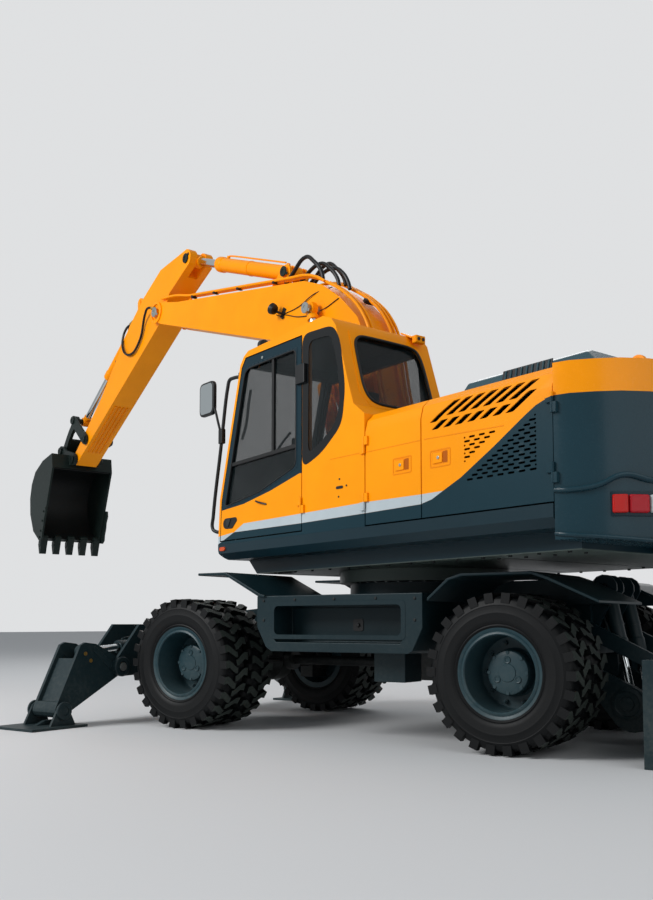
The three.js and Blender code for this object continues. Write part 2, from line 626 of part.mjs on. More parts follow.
function bladeLinks() {
  const end = { x: LINK_PIVOT.x + LINK_SPAN.x, z: LINK_PIVOT.z + LINK_SPAN.z };
  const plate = sidePlate(strapOutline(LINK_PIVOT, 55, end, 50), BLADE_LINK_Y - 20, BLADE_LINK_Y + 20);
  const bores = [LINK_PIVOT, end].map((at) => pinAcross(at, 0, 600, 30 + PIN_GAP));
  const tie = { x: LINK_PIVOT.x + LINK_SPAN.x * 0.78, z: LINK_PIVOT.z + LINK_SPAN.z * 0.78 };
  return join(bothSides(cut(plate, ...bores)), pinAcross(tie, -BLADE_LINK_Y, BLADE_LINK_Y, 30));
}

// ---- upper pieces -----------------------------------------------------------------------------
function platform() {
  const bellyHalf = MACHINE_HALF - 250;
  const outer = [
    [MACHINE_HALF, DECK_Z], [MACHINE_HALF, 1450], [MACHINE_HALF - 55, SKIRT_BOTTOM], [bellyHalf, SKIRT_BOTTOM],
    [bellyHalf, BELLY_Z],
  ];
  const inner = [
    [MACHINE_HALF - 100, DECK_Z + 1], [MACHINE_HALF - 100, 1445], [bellyHalf - 50, 1445],
    [bellyHalf - 50, BELLY_Z + 40],
  ];
  const mirrored = (points) => [...points].reverse().map(([y, z]) => [-y, z]);
  const shell = crossPlate([...outer, ...mirrored(outer)], TAIL_SEAM_X + SEAM, SKIRT_FRONT_X);
  const hollow = crossPlate([...inner, ...mirrored(inner)], TAIL_SEAM_X + 80, SKIRT_FRONT_X - 80);
  const nose = sidePlate(
    [
      [SKIRT_FRONT_X + 50, BELLY_Z - 50], [SKIRT_FRONT_X + 50, 1450],
      ...arc(SKIRT_FRONT_X - 110, 1505, 112, 0, -90, 5), [950, BELLY_Z - 50],
    ],
    -MACHINE_HALF - 150, MACHINE_HALF + 150,
  );
  const lug = [
    [-420, DECK_Z - 60], ...arc(BOOM_FOOT.x, BOOM_FOOT.z, 110, 160, 20, 5), [480, 1560], [560, 1490],
    [900, DECK_Z - 60], [900, BELLY_Z + 20], [-420, BELLY_Z + 20],
  ];
  const lugs = [-BOOM_LUG_HALF - 32, BOOM_LUG_HALF].map((y) => sidePlate(lug, BOOM_Y + y, BOOM_Y + y + 32));
  const footPin = pinAcross(BOOM_FOOT, BOOM_Y - BOOM_LUG_HALF - 40, BOOM_Y + BOOM_LUG_HALF + 40, PIN_RADIUS);
  const foot = BOOM_CYLINDER_BASE;
  const ear = [[foot.x - 90, BELLY_Z + 30], [foot.x + 90, BELLY_Z + 30], ...arc(foot.x, foot.z, 72, 0, 180, 5)];
  const earBore = pinAcross(foot, -900, 900, 38 + PIN_GAP);
  const ears = cut(join(...[-1, 1].map((side) => sidePlate(
    ear, BOOM_Y + side * 180 - 20, BOOM_Y + side * 180 + 20,
  ))), earBore);
  const beams = [-1, 1].map((side) => box(
    [TAIL_SEAM_X + 60, SKIRT_FRONT_X - 60],
    [BOOM_Y + side * (BOOM_LUG_HALF + 16) - 30, BOOM_Y + side * (BOOM_LUG_HALF + 16) + 30],
    [BELLY_Z + 20, BEAM_TOP],
  ));
  const bearing = bar([0, 0, BEARING_TOP + 5], [0, 0, BELLY_Z + 10], UPPER_BEARING_RADIUS, 32);
  const tray = cut(shell, hollow, nose);
  const shelfTop = COUNTERWEIGHT_BOTTOM - SEAT_GAP;
  const shelf = box([TAIL_SEAM_X - 250, TAIL_SEAM_X + 120], [-320, 320], [BELLY_Z + 5, shelfTop]);
  return join(tray, shelf, ...beams, cut(join(...lugs), earBore), ears, footPin, bearing);
}

function counterweight() {
  const plan = [
    [TAIL_SEAM_X, MACHINE_HALF], [-2480, MACHINE_HALF - 28], [-2590, MACHINE_HALF - 110],
    [-2690, MACHINE_HALF - 210], [-2775, MACHINE_HALF - 350], [-2825, MACHINE_HALF - 550], [-TAIL_RADIUS, MACHINE_HALF - 900],
  ];
  const outline = [...plan, ...[...plan].reverse().map(([x, y]) => [x, -y])];
  const body = planPlate(outline, COUNTERWEIGHT_BOTTOM, HOUSE_TOP);
  const rise = [[-3000, 1200], [-3000, 1420], [-2760, COUNTERWEIGHT_BOTTOM], [-2760, 1200]];
  const underCut = sidePlate(rise, -MACHINE_HALF - 150, MACHINE_HALF + 150);
  return join(cut(body, underCut), bothSides(frameHinges(REAR_DOOR_HINGE)));
}

// A housing panel on the cab side between two seams: a wall with a rounded shoulder.
function sidePanel(rear, front) {
  const y = MACHINE_HALF;
  const outline = [
    [y, DECK_Z + SEAM], [y, 2190], [y - 22, 2272], [y - 75, HOUSE_TOP], [y - 150, HOUSE_TOP],
    [y - 150, HOUSE_TOP - 25], [y - 85, HOUSE_TOP - 25], [y - DOOR_WALL - 18, 2256], [y - DOOR_WALL, 2184],
    [y - DOOR_WALL, DECK_Z + SEAM],
  ];
  return crossPlate(outline, rear + SEAM / 2, front - SEAM / 2);
}

// Fixed walls of the engine housing: bulkheads, posts and deck, open under the hood.
function house() {
  const front = CAB_SEAM_X - SEAM / 2;
  const deckHalf = MACHINE_HALF - 150 - SEAM;
  const foot = DECK_Z + SEAT_GAP;
  const wallY = MACHINE_HALF - DOOR_WALL - 10;
  const bulkhead = (x0, x1) => box([x0, x1], [-wallY, wallY], [foot, 2180]);
  const capped = (x0, x1) => join(bulkhead(x0, x1), box([x0, x1], [-deckHalf, deckHalf], [2100, HOUSE_TOP - 5]));
  const deck = box([TAIL_SEAM_X + SEAM, front], [-deckHalf, deckHalf], [HOUSE_TOP - 30, HOUSE_TOP]);
  const mouth = box([HOOD_REAR_X + 60, HOOD_FRONT_X - 60], [-HOOD_HALF + 60, HOOD_HALF - 60], [2200, 2400]);
  const engineWay = box([MID_SEAM_X - 100, MID_SEAM_X + 100], [-700, 700], [1600, 2250]);
  const middle = cut(capped(MID_SEAM_X - 20, MID_SEAM_X + 20), engineWay);
  return join(cut(deck, mouth), capped(front - 40, front), middle, capped(TAIL_SEAM_X + SEAM, TAIL_SEAM_X + 40));
}

function hood() {
  const base = HOUSE_TOP + SEAT_GAP;
  const section = (inset) => {
    const w = HOOD_HALF - inset;
    const top = HOOD_TOP - inset;
    return [
      [-w, base - (inset ? 10 : 0)], [w, base - (inset ? 10 : 0)], [w, base + 150 - inset],
      [w - 60, top - 40], [w - 160, top], [-w + 160, top], [-w + 60, top - 40], [-w, base + 150 - inset],
    ];
  };
  const slopes = (inset) => sidePlate(
    [[HOOD_FRONT_X - inset, base - 20], [HOOD_FRONT_X - 90 - inset, HOOD_TOP + 50],
      [HOOD_REAR_X + 330 + inset, HOOD_TOP + 50], [HOOD_REAR_X + 250 + inset, HOOD_TOP - 10 - inset],
      [HOOD_REAR_X + inset, base + 60 - inset], [HOOD_REAR_X + inset, base - 20]],
    -1000, 1000,
  );
  const outside = crossPlate(section(0), HOOD_REAR_X, HOOD_FRONT_X).intersect(slopes(0));
  const inside = crossPlate(section(35), HOOD_REAR_X, HOOD_FRONT_X).intersect(slopes(35));
  return cut(outside, inside);
}

// Fuel and oil tanks beside the boom on the right, with the tool box and steps in front of them.
function rightTank() {
  const foot = DECK_Z + SEAT_GAP;
  const profile = [
    [CAB_SEAM_X, foot], [SKIRT_FRONT_X - 60, foot], [SKIRT_FRONT_X - 60, 1760], [1040, 1850],
    [760, 1870], [740, 2080], [420, 2100], [400, 2290], [340, HOUSE_TOP], [CAB_SEAM_X, HOUSE_TOP],
  ];
  return join(sidePlate(profile, -MACHINE_HALF, -560), mirrorY(sidePanel(MID_SEAM_X, CAB_SEAM_X + 2 * SEAM)));
}

// ---- cab pieces -------------------------------------------------------------------------------
const CAB_PROFILE = [
  [CAB_SEAM_X + SEAM / 2, DECK_Z + SEAT_GAP], [SKIRT_FRONT_X, DECK_Z + SEAT_GAP], [1205, 1912], [893, 3020],
  [840, 3085], [770, CAB_TOP], [-250, CAB_TOP + 30], [-350, CAB_TOP - 10], [-405, 3040], [-560, 2560],
  [-610, 2420], [CAB_SEAM_X + SEAM / 2, 2330],
];
const DOOR_OUTLINE = [
  [DOOR_REAR_X, 1560], [1190, 1560], [1166, 1908], [860, 2985], [800, 3060], [DOOR_REAR_X, 3060],
];
const DOOR_WINDOW = [
  [DOOR_REAR_X + 60, 2050], [600, 1905], [1128, 1835], [1108, 1900], [828, 2940], [790, 2985],
  [DOOR_REAR_X + 60, 2985],
];
const QUARTER_WINDOW = [
  [-50, 2085], [-380, 2235], [-480, 2390], [-470, 2740], [-370, 2990], [-330, 3030], [-50, 3040],
];
const RIGHT_WINDOW = [[-400, 2330], [1010, 2330], [825, 2980], [-340, 2980]];
const REAR_WINDOW = [
  [CAB_INNER_Y + 105, 2440], [MACHINE_HALF - 190, 2440], [MACHINE_HALF - 120, 2540], [MACHINE_HALF - 140, 3000],
  [CAB_INNER_Y + 155, 3000], [CAB_INNER_Y + 105, 2900],
];
const FRONT_WINDOW = [
  [CAB_INNER_Y + 65, 1700], [MACHINE_HALF - 65, 1700], [MACHINE_HALF - 65, 3010], [CAB_INNER_Y + 65, 3010],
];

// Moves each point of a convex outline towards its centre by the same distance on both axes.
function shrunk(outline, by) {
  const centre = outline.reduce(([a, b], [c, d]) => [a + c / outline.length, b + d / outline.length], [0, 0]);
  return outline.map(([a, b]) => {
    const reach = Math.hypot(a - centre[0], b - centre[1]);
    return [a - ((a - centre[0]) * by) / reach, b - ((b - centre[1]) * by) / reach];
  });
}

function cabShell() {
  const inside = [
    [CAB_SEAM_X + CAB_WALL, DECK_Z + 40], [SKIRT_FRONT_X - CAB_WALL - 6, DECK_Z + 40],
    [1205 - CAB_WALL - 4, 1910],
    [893 - CAB_WALL - 6, 3005], [770, CAB_TOP - CAB_WALL], [-250, CAB_TOP - CAB_WALL + 10],
    [-345, 3030], [-505, 2550], [-560, 2405], [CAB_SEAM_X + CAB_WALL, 2300],
  ];
  const doorway = DOOR_OUTLINE.map(([x, z]) => [x + (x > 100 ? SEAM : -SEAM), z + (z > 2000 ? SEAM : -SEAM)]);
  const walls = cut(
    sidePlate(CAB_PROFILE, CAB_INNER_Y, MACHINE_HALF),
    sidePlate(inside, CAB_INNER_Y + CAB_WALL, MACHINE_HALF - CAB_WALL),
    sidePlate(doorway, MACHINE_HALF - 150, MACHINE_HALF + 50),
    sidePlate(QUARTER_WINDOW, MACHINE_HALF - 150, MACHINE_HALF + 50),
    sidePlate(RIGHT_WINDOW, CAB_INNER_Y - 25, CAB_INNER_Y + 75),
    crossPlate(REAR_WINDOW, CAB_SEAM_X - 20, -200),
    crossPlate(FRONT_WINDOW, 700, 1400),
  );
  return join(walls, frameHinges(CAB_DOOR_HINGE), frameHinges(FRONT_DOOR_HINGE));
}

function cabDoor() {
  const outer = MACHINE_HALF;
  const panel = sidePlate(DOOR_OUTLINE, outer - CAB_DOOR_WALL, outer);
  return join(cut(panel, sidePlate(DOOR_WINDOW, outer - 100, outer + 50)), doorHinges(CAB_DOOR_HINGE));
}

// A pane that fills an opening with the seat gap all round.
const pane = (outline, at) => sidePlate(shrunk(outline, GLASS_SEAL), at - GLASS / 2, at + GLASS / 2);

// The cab's front face at a height.
function cabFrontX(z) {
  const [, foot, knee, brow] = CAB_PROFILE;
  const [low, high] = z < knee[1] ? [foot, knee] : [knee, brow];
  return low[0] + ((z - low[1]) * (high[0] - low[0])) / (high[1] - low[1]);
}

function windshield() {
  const [[y0, z0], , [y1, z1]] = FRONT_WINDOW;
  const heights = [z0 + GLASS_SEAL, 1912, z1 - GLASS_SEAL];
  const back = heights.map((z) => [cabFrontX(z) - 25, z]);
  const front = heights.map((z) => [cabFrontX(z) - 25 + GLASS, z]).reverse();
  return sidePlate([...back, ...front], y0 + GLASS_SEAL, y1 - GLASS_SEAL);
}

function rearWindow() {
  const [, , , , , , , , [topX, topZ], [lowX, lowZ]] = CAB_PROFILE;
  const slope = (topX - lowX) / (topZ - lowZ);
  const at = (z) => lowX + (z - lowZ) * slope + 20;
  const band = sidePlate(
    [[at(2400), 2400], [at(2400) + GLASS, 2400], [at(3050) + GLASS, 3050], [at(3050), 3050]],
    CAB_INNER_Y - 25, MACHINE_HALF,
  );
  return band.intersect(crossPlate(shrunk(REAR_WINDOW, GLASS_SEAL), CAB_SEAM_X, 0));
}

function cabInterior() {
  const floor = DECK_Z + 40 + SEAT_GAP;
  return join(
    box([-420, 260], [SEAT_Y - 270, SEAT_Y + 240], [floor, floor + 260]),
    box([-380, 200], [CAB_INNER_Y + CAB_WALL + 12, SEAT_Y - 255], [floor, floor + 420]),
    box([-600, -300], [CAB_INNER_Y + CAB_WALL + 12, MACHINE_HALF - CAB_WALL - 60], [floor, floor + 700]),
    box([820, 1000], [SEAT_Y - 180, SEAT_Y + 120], [floor, floor + 60]),
    box([260, 820], [SEAT_Y - 100, SEAT_Y + 60], [floor, floor + 30]),
    bar([880, SEAT_Y - 20, floor + 40], [760, SEAT_Y - 20, floor + 640], 30, 10),
  );
}

function seat() {
  const base = DECK_Z + 40 + 260 + 2 * SEAT_GAP;
  const outline = [
    [-200, base], [280, base], [300, base + 60], [270, base + 130], [-60, base + 120], [-130, base + 500],
    [-150, base + 820], [-240, base + 810], [-250, base + 300], [-240, base + 60],
  ];
  return sidePlate(outline, SEAT_Y - 240, SEAT_Y + 240);
}

// Rear-view mirror on a bent tube from the front corner of the cab.
function mirror() {
  const y = MACHINE_HALF - 10;
  const low = [cabFrontX(1610) + SEAT_GAP, y - 25, 1640];
  const lowBend = [1340, y, 1660];
  const highBend = [1090, y, 2940];
  const high = [cabFrontX(2910) + SEAT_GAP, y - 25, 2940];
  const feet = [low, high].map(([x, side, z]) => box([x, x + 16], [side - 20, side + 20], [z - 30, z + 30]));
  const head = box([1270, 1520], [y - 5, y + 45], [2670, 2980]);
  return join(
    ...feet,
    bar([low[0] + 8, low[1], low[2]], lowBend, 16, 8),
    bar(lowBend, highBend, 16, 8),
    bar(highBend, [high[0] + 8, high[1], high[2]], 16, 8),
    bar([1180, y, 2480], [1260, y + 22, 2700], 12, 8),
    head,
  );
}

// ---- front attachment -------------------------------------------------------------------------
function boomBody() {
  const outline = [
    ...arc(0, 0, 105, 100, 280, 6),
    [900, 120], [1500, 480], [1900, 590], [2500, 518], [BOOM_LENGTH - 190, -85],
    ...arc(BOOM_LENGTH, 0, 125, -70, 80, 6),
    [BOOM_LENGTH - 450, 267], [2361, 1172], [2050, 1220], [1711, 1195], [1375, 1115], [1100, 940], [700, 520],
  ];
  const body = sidePlate(outline, BOOM_Y - BOOM_HALF, BOOM_Y + BOOM_HALF);
  const forkGap = ARM_HALF + RUN_GAP;
  const fork = box([BOOM_LENGTH - 560, BOOM_LENGTH + 400], [BOOM_Y - forkGap, BOOM_Y + forkGap], [-400, 500]);
  const root = ARM_CYLINDER_BASE;
  const ear = [[root.x - 190, 1000], [root.x + 190, 880], ...arc(root.x, root.z, 80, 20, 160, 5)];
  const ears = [-118, 88].map((y) => sidePlate(ear, BOOM_Y + y, BOOM_Y + y + 30));
  const earPin = pinAcross(root, BOOM_Y - 135, BOOM_Y + 135, PIN_RADIUS);
  const bosses = pinAcross(BOOM_EYE, BOOM_Y - BOOM_HALF - 6, BOOM_Y + BOOM_HALF + 6, 100, 16);
  const footBore = pinAcross({ x: 0, z: 0 }, BOOM_Y - 400, BOOM_Y + 400, PIN_RADIUS + PIN_GAP);
  const tipPin = pinAcross({ x: BOOM_LENGTH, z: 0 }, BOOM_Y - BOOM_HALF - 25, BOOM_Y + BOOM_HALF + 25);
  return join(cut(body, fork, footBore), ...ears, earPin, bosses, tipPin);
}

function armBody() {
  const tail = ARM_CYLINDER_PIN;
  const outline = [
    ...arc(tail.x, tail.z, 110, 260, 100, 6),
    [-280, 467], [250, 500], [700, 462], [1850, 207], [ARM_LENGTH - 60, 95],
    ...arc(ARM_LENGTH, 0, 76, 80, -100, 5),
    [ARM_LENGTH - 200, -78], [500, -110], [0, -110], [-110, -60], [-300, 40],
  ];
  const body = sidePlate(outline, BOOM_Y - ARM_HALF, BOOM_Y + ARM_HALF);
  const clevis = box([tail.x - 300, tail.x + 190], [BOOM_Y - 60, BOOM_Y + 60], [-200, 400]);
  const root = BUCKET_CYLINDER_BASE;
  const ear = [[root.x - 170, 400], [root.x + 170, 400], ...arc(root.x, root.z, 70, 20, 160, 5)];
  const ears = [-100, 75].map((y) => sidePlate(ear, BOOM_Y + y, BOOM_Y + y + 25));
  const bores = [{ x: 0, z: 0 }, ROCKER_PIN, { x: ARM_LENGTH, z: 0 }].map((at) => pinAcross(
    at, BOOM_Y - 400, BOOM_Y + 400, PIN_RADIUS + PIN_GAP,
  ));
  return join(cut(body, clevis, ...bores), ...ears, pinAcross(root, BOOM_Y - 115, BOOM_Y + 115, 38));
}

function rocker() {
  const plate = strapOutline(ROCKER_PIN, 75, ROCKER_TOP, 70);
  const inner = ARM_HALF + RUN_GAP;
  const straps = [-inner - 30, inner].map((y) => sidePlate(plate, BOOM_Y + y, BOOM_Y + y + 30));
  return join(...straps, pinAcross(ROCKER_PIN, BOOM_Y - inner - 40, BOOM_Y + inner + 40, PIN_RADIUS));
}

// The push link stands between the rocker's straps and holds the bucket's upper pin.
function bucketLink() {
  const foot = LINK_FOOT;
  const middle = { x: (ROCKER_TOP.x + foot.x) / 2, z: (ROCKER_TOP.z + foot.z) / 2 };
  const strap = [
    ...arc(ROCKER_TOP.x, ROCKER_TOP.z, 68, 60, 250, 6),
    [middle.x - 60, middle.z - 5],
    [middle.x + 70, middle.z - 40],
    ...arc(foot.x, foot.z, 68, -120, 70, 6),
    [middle.x + 110, middle.z + 55],
    [middle.x - 10, middle.z + 90],
  ];
  const straps = [-ARM_HALF, ARM_HALF - 45].map((y) => sidePlate(strap, BOOM_Y + y, BOOM_Y + y + 45));
  const web = strapOutline(
    { x: THREE.MathUtils.lerp(ROCKER_TOP.x, foot.x, 0.62), z: THREE.MathUtils.lerp(ROCKER_TOP.z, foot.z, 0.62) },
    28, foot, 60,
  );
  const boss = pinAcross(foot, BOOM_Y - ARM_HALF, BOOM_Y + ARM_HALF, 70, 16);
  const bore = pinAcross(foot, BOOM_Y - 400, BOOM_Y + 400, PIN_RADIUS + PIN_GAP);
  return cut(join(...straps, sidePlate(web, BOOM_Y - 120, BOOM_Y + 120), boss), bore);
}

// Bucket about its arm pin, in the position in which it hangs, with ears for both pins.
const tilt = radians(ARM_ANGLE);
const LINK_PIN = {
  x: (LINK_FOOT.x - ARM_LENGTH) * Math.cos(tilt) - LINK_FOOT.z * Math.sin(tilt),
  z: (LINK_FOOT.x - ARM_LENGTH) * Math.sin(tilt) + LINK_FOOT.z * Math.cos(tilt),
};
function bucket() {
  const back = [
    [150, 85], [480, 20], [760, -110], [890, -280], [945, -480], [925, -720], [790, -980], [560, -1130],
  ];
  const outline = [[105, -120], [135, 85], ...back.slice(1), [470, -1100]];
  const wall = 28;
  const inside = [
    [-200, -118], [105, -118], [250, -40], [470, -20], [735, -135], [862, -300], [915, -485], [896, -712],
    [770, -955], [545, -1098], [470, -1100], [300, -1150], [-200, -1100],
  ];
  const shell = cut(
    sidePlate(outline, BOOM_Y - BUCKET_HALF, BOOM_Y + BUCKET_HALF),
    sidePlate(inside, BOOM_Y - BUCKET_HALF + wall, BOOM_Y + BUCKET_HALF - wall),
  );
  const earPlate = [
    [130, -60], ...arc(0, 0, 95, 240, 100, 5), [250, 170], ...arc(LINK_PIN.x, LINK_PIN.z, 80, 120, 0, 5),
    [700, -70], [480, 10],
  ];
  const gap = ARM_HALF + RUN_GAP;
  const ears = [-gap - 40, gap].map((y) => sidePlate(earPlate, BOOM_Y + y, BOOM_Y + y + 40));
  const pins = [{ x: 0, z: 0 }, LINK_PIN].map((at) => pinAcross(at, BOOM_Y - gap - 50, BOOM_Y + gap + 50));
  const tooth = [
    [500, -1075], [600, -1140], [605, -1200], [570, -1320], [535, -1320], [480, -1150], [455, -1090],
  ];
  const teeth = [-2, -1, 0, 1, 2].map((i) => sidePlate(tooth, BOOM_Y + i * 200 - 45, BOOM_Y + i * 200 + 45));
  return join(shell, ...ears, ...pins, ...teeth);
}

// ---- assembly ---------------------------------------------------------------------------------
const machine = new THREE.Group();
const chassis = subgroup(machine);
addPiece(chassis, "chassis_frame", chassisFrame(), SLATE);
addPiece(chassis, "rear_fenders", rearFenders(), SLATE);
addPiece(subgroup(chassis, FRONT_AXLE_X, 0, AXLE_Z), "front_axle", frontAxle(), DARK_STEEL);
addPiece(subgroup(chassis, REAR_AXLE_X, 0, AXLE_Z), "rear_axle_and_drive", rearAxle(), DARK_STEEL);
addPiece(chassis, "blade", bladePlate(), SLATE);
addPiece(chassis, "blade_arms", bladeArms(), SLATE);
addPiece(chassis, "blade_links", bladeLinks(), SLATE);
cylinderPair(
  chassis, { barrel: "blade_cylinders", rods: ["right_blade_rod", "left_blade_rod"] },
  BLADE_CYLINDER_TOP, BLADE_ROD_EYE,
  {
    radius: 52, rod: 28, eyeRadius: 55, eyeWidth: 60, pin: 30, pinAcross: BLADE_CYLINDER_Y + 95,
    barrel: 505, gland: 60, floor: 90, rodLength: 470, finish: SLATE,
  },
  [-BLADE_CYLINDER_Y, BLADE_CYLINDER_Y],
);

for (const side of [1, -1]) {
  const word = side > 0 ? "left" : "right";
  const handed = (solid) => (side > 0 ? solid : mirrorY(solid));
  addPiece(chassis, `${word}_step_box`, handed(stepBox()), SLATE);
  const kingpin = subgroup(chassis, FRONT_AXLE_X, side * KINGPIN_Y, AXLE_Z);
  addPiece(kingpin, `${word}_knuckle`, handed(knuckle()), DARK_STEEL);
  for (const [end, x] of [["front", FRONT_AXLE_X], ["rear", REAR_AXLE_X]]) {
    const axle = subgroup(chassis, x, 0, AXLE_Z);
    addPiece(axle, `${word}_${end}_tyres`, handed(twinTyres()), RUBBER);
    addPiece(axle, `${word}_${end}_wheel`, handed(twinWheel()), SLATE);
  }
  addPiece(chassis, `${word}_outrigger_leg`, handed(outriggerLeg()), SLATE);
  addPiece(chassis, `${word}_outrigger_pad`, handed(outriggerPad()), SLATE);
  const sideways = subgroup(chassis, LEG_X, 0, 0);
  sideways.rotation.z = (side * Math.PI) / 2;
  cylinderPair(
    sideways, { barrel: `${word}_outrigger_cylinder`, rods: [`${word}_outrigger_rod`] },
    { x: LEG_CYLINDER_BASE.y, z: LEG_CYLINDER_BASE.z }, { x: LEG_ROD_PIN.y, z: LEG_ROD_PIN.z },
    {
      radius: 55, rod: 32, eyeRadius: 50, eyeWidth: 80, pin: 28, barrel: 660, gland: 50, floor: 90,
      rodLength: 600, finish: SLATE,
    },
  );
}

const upper = subgroup(machine);
upper.rotation.z = radians(SWING_DEG);
addPiece(upper, "platform", platform(), SLATE);
addPiece(upper, "counterweight", counterweight(), SLATE);
addPiece(upper, "engine_housing", house(), SLATE);
addPiece(upper, "engine", box([-2150, -1400], [-420, 420], [BEAM_TOP + SEAT_GAP, 2150]), DARK_STEEL);
addPiece(upper, "hood", hood(), SLATE);
addPiece(upper, "left_front_door", join(sidePanel(MID_SEAM_X, CAB_SEAM_X), doorHinges(FRONT_DOOR_HINGE)), ORANGE);
const rearDoor = join(sidePanel(TAIL_SEAM_X, MID_SEAM_X), doorHinges(REAR_DOOR_HINGE));
addPiece(upper, "left_rear_door", rearDoor, ORANGE);
addPiece(upper, "right_rear_door", mirrorY(rearDoor), ORANGE);
addPiece(upper, "right_tank", rightTank(), ORANGE);
addPiece(upper, "cab_shell", cabShell(), ORANGE);
addPiece(upper, "cab_door", cabDoor(), ORANGE);
addPiece(upper, "windshield", windshield(), WINDOW);
addPiece(upper, "door_window", pane(DOOR_WINDOW, MACHINE_HALF - CAB_DOOR_WALL / 2), WINDOW);
addPiece(upper, "right_window", pane(RIGHT_WINDOW, CAB_INNER_Y + CAB_WALL / 2), WINDOW);
addPiece(upper, "rear_window", rearWindow(), WINDOW);
addPiece(upper, "cab_interior", cabInterior(), BLACK_PLASTIC);
addPiece(upper, "seat", seat(), SEAT_CLOTH);
addPiece(upper, "mirror", mirror(), BLACK_PLASTIC);

const boom = subgroup(upper, BOOM_FOOT.x, 0, BOOM_FOOT.z);
boom.rotation.y = -radians(BOOM_ANGLE);
addPiece(boom, "boom", boomBody(), ORANGE);

const arm = subgroup(boom, BOOM_LENGTH, 0, 0);
arm.rotation.y = -radians(ARM_ANGLE - BOOM_ANGLE);
addPiece(arm, "arm", armBody(), ORANGE);
addPiece(arm, "rocker", rocker(), SLATE);
addPiece(arm, "bucket_link", bucketLink(), SLATE);

const bucketGroup = subgroup(arm, ARM_LENGTH, 0, 0);
bucketGroup.rotation.y = radians(ARM_ANGLE);
addPiece(bucketGroup, "bucket", bucket(), SLATE);

// A point of one group's side view in another group's side view.
function inFrameOf(group, other, point) {
  machine.updateMatrixWorld(true);
  const world = group.localToWorld(new THREE.Vector3(point.x, 0, point.z));
  return other.worldToLocal(world);
}

cylinderPair(
  upper, { barrel: "boom_cylinders", rods: ["right_boom_rod", "left_boom_rod"] },
  { ...BOOM_CYLINDER_BASE, y: BOOM_Y }, inFrameOf(boom, upper, BOOM_EYE),
  {
    radius: 68, rod: 42, eyeRadius: 68, eyeWidth: 64, pin: 38, pinAcross: BOOM_CYLINDER_Y + 20,
    barrel: 1500, gland: 90, floor: 130, rodLength: 1440, finish: ORANGE,
  },
  [-BOOM_CYLINDER_Y, BOOM_CYLINDER_Y],
);
cylinderPair(
  boom, { barrel: "arm_cylinder", rods: ["arm_rod"] },
  { ...ARM_CYLINDER_BASE, y: BOOM_Y }, inFrameOf(arm, boom, ARM_CYLINDER_PIN),
  {
    radius: 78, rod: 48, eyeRadius: 78, eyeWidth: 100, pin: PIN_RADIUS, barrel: 1560, gland: 110, floor: 130,
    rodLength: 1610, finish: ORANGE,
  },
);
cylinderPair(
  arm, { barrel: "bucket_cylinder", rods: ["bucket_rod"] },
  { ...BUCKET_CYLINDER_BASE, y: BOOM_Y }, ROCKER_TOP,
  {
    radius: 62, rod: 40, eyeRadius: 65, eyeWidth: 90, pin: 38, barrel: 1350, gland: 90, floor: 120,
    rodLength: 1500, finish: ORANGE,
  },
);

// The middle of the machine's footprint is the origin of the part.
machine.updateMatrixWorld(true);
const bounds = new THREE.Box3().setFromObject(machine, true);
machine.position.set(-(bounds.min.x + bounds.max.x) / 2, -(bounds.min.y + bounds.max.y) / 2, 0);

export default machine;
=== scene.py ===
"""Looks of a wheeled excavator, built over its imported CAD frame."""

import json
import logging
import math
from collections.abc import Sequence
from dataclasses import dataclass, field
from enum import Enum

import bpy
from mathutils import Matrix, Vector


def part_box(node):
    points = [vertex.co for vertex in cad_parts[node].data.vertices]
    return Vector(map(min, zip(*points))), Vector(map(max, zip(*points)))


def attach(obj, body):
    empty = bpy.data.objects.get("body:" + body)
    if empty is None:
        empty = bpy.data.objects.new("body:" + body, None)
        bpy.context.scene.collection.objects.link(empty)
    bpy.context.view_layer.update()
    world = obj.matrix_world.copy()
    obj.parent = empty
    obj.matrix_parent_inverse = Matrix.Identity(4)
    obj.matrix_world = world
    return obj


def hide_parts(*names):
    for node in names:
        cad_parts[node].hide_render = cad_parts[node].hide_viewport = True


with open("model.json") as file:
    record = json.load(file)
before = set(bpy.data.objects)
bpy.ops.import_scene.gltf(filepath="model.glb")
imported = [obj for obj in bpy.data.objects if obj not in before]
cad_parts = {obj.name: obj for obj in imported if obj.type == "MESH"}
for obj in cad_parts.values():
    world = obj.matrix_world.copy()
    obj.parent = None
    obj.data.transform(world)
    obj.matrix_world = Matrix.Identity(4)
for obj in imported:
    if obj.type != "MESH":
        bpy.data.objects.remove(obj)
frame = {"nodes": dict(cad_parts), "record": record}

logging.basicConfig(level=logging.INFO, format="%(message)s")
LOG = logging.getLogger("excavator")

Point = tuple[float, float, float]
Flat = tuple[float, float]
Color = tuple[float, float, float, float]
Piece = bpy.types.Object
Tree = bpy.types.NodeTree
Socket = bpy.types.NodeSocket


class Plane(Enum):
    """The plane an outline is drawn in, before it is pushed out along the third axis."""

    SIDE = "xz"
    CROSS = "yz"
    PLAN = "xy"


# ---------------------------------------------------------------- frames
def at(x: float, y: float, z: float) -> Matrix:
    """A move to a point."""
    return Matrix.Translation((x, y, z))


def spun(degrees: float, axis: str) -> Matrix:
    """A turn about an axis."""
    return Matrix.Rotation(math.radians(degrees), 4, axis)


def circle_of(count: int, point: Point, axis: str = "Y", first: float = 0.0) -> list[Matrix]:
    """Places spaced evenly round an axis, from a point turned by a part of one space."""
    return [Matrix.Rotation(math.tau * (i + first) / count, 4, axis) @ at(*point) for i in range(count)]


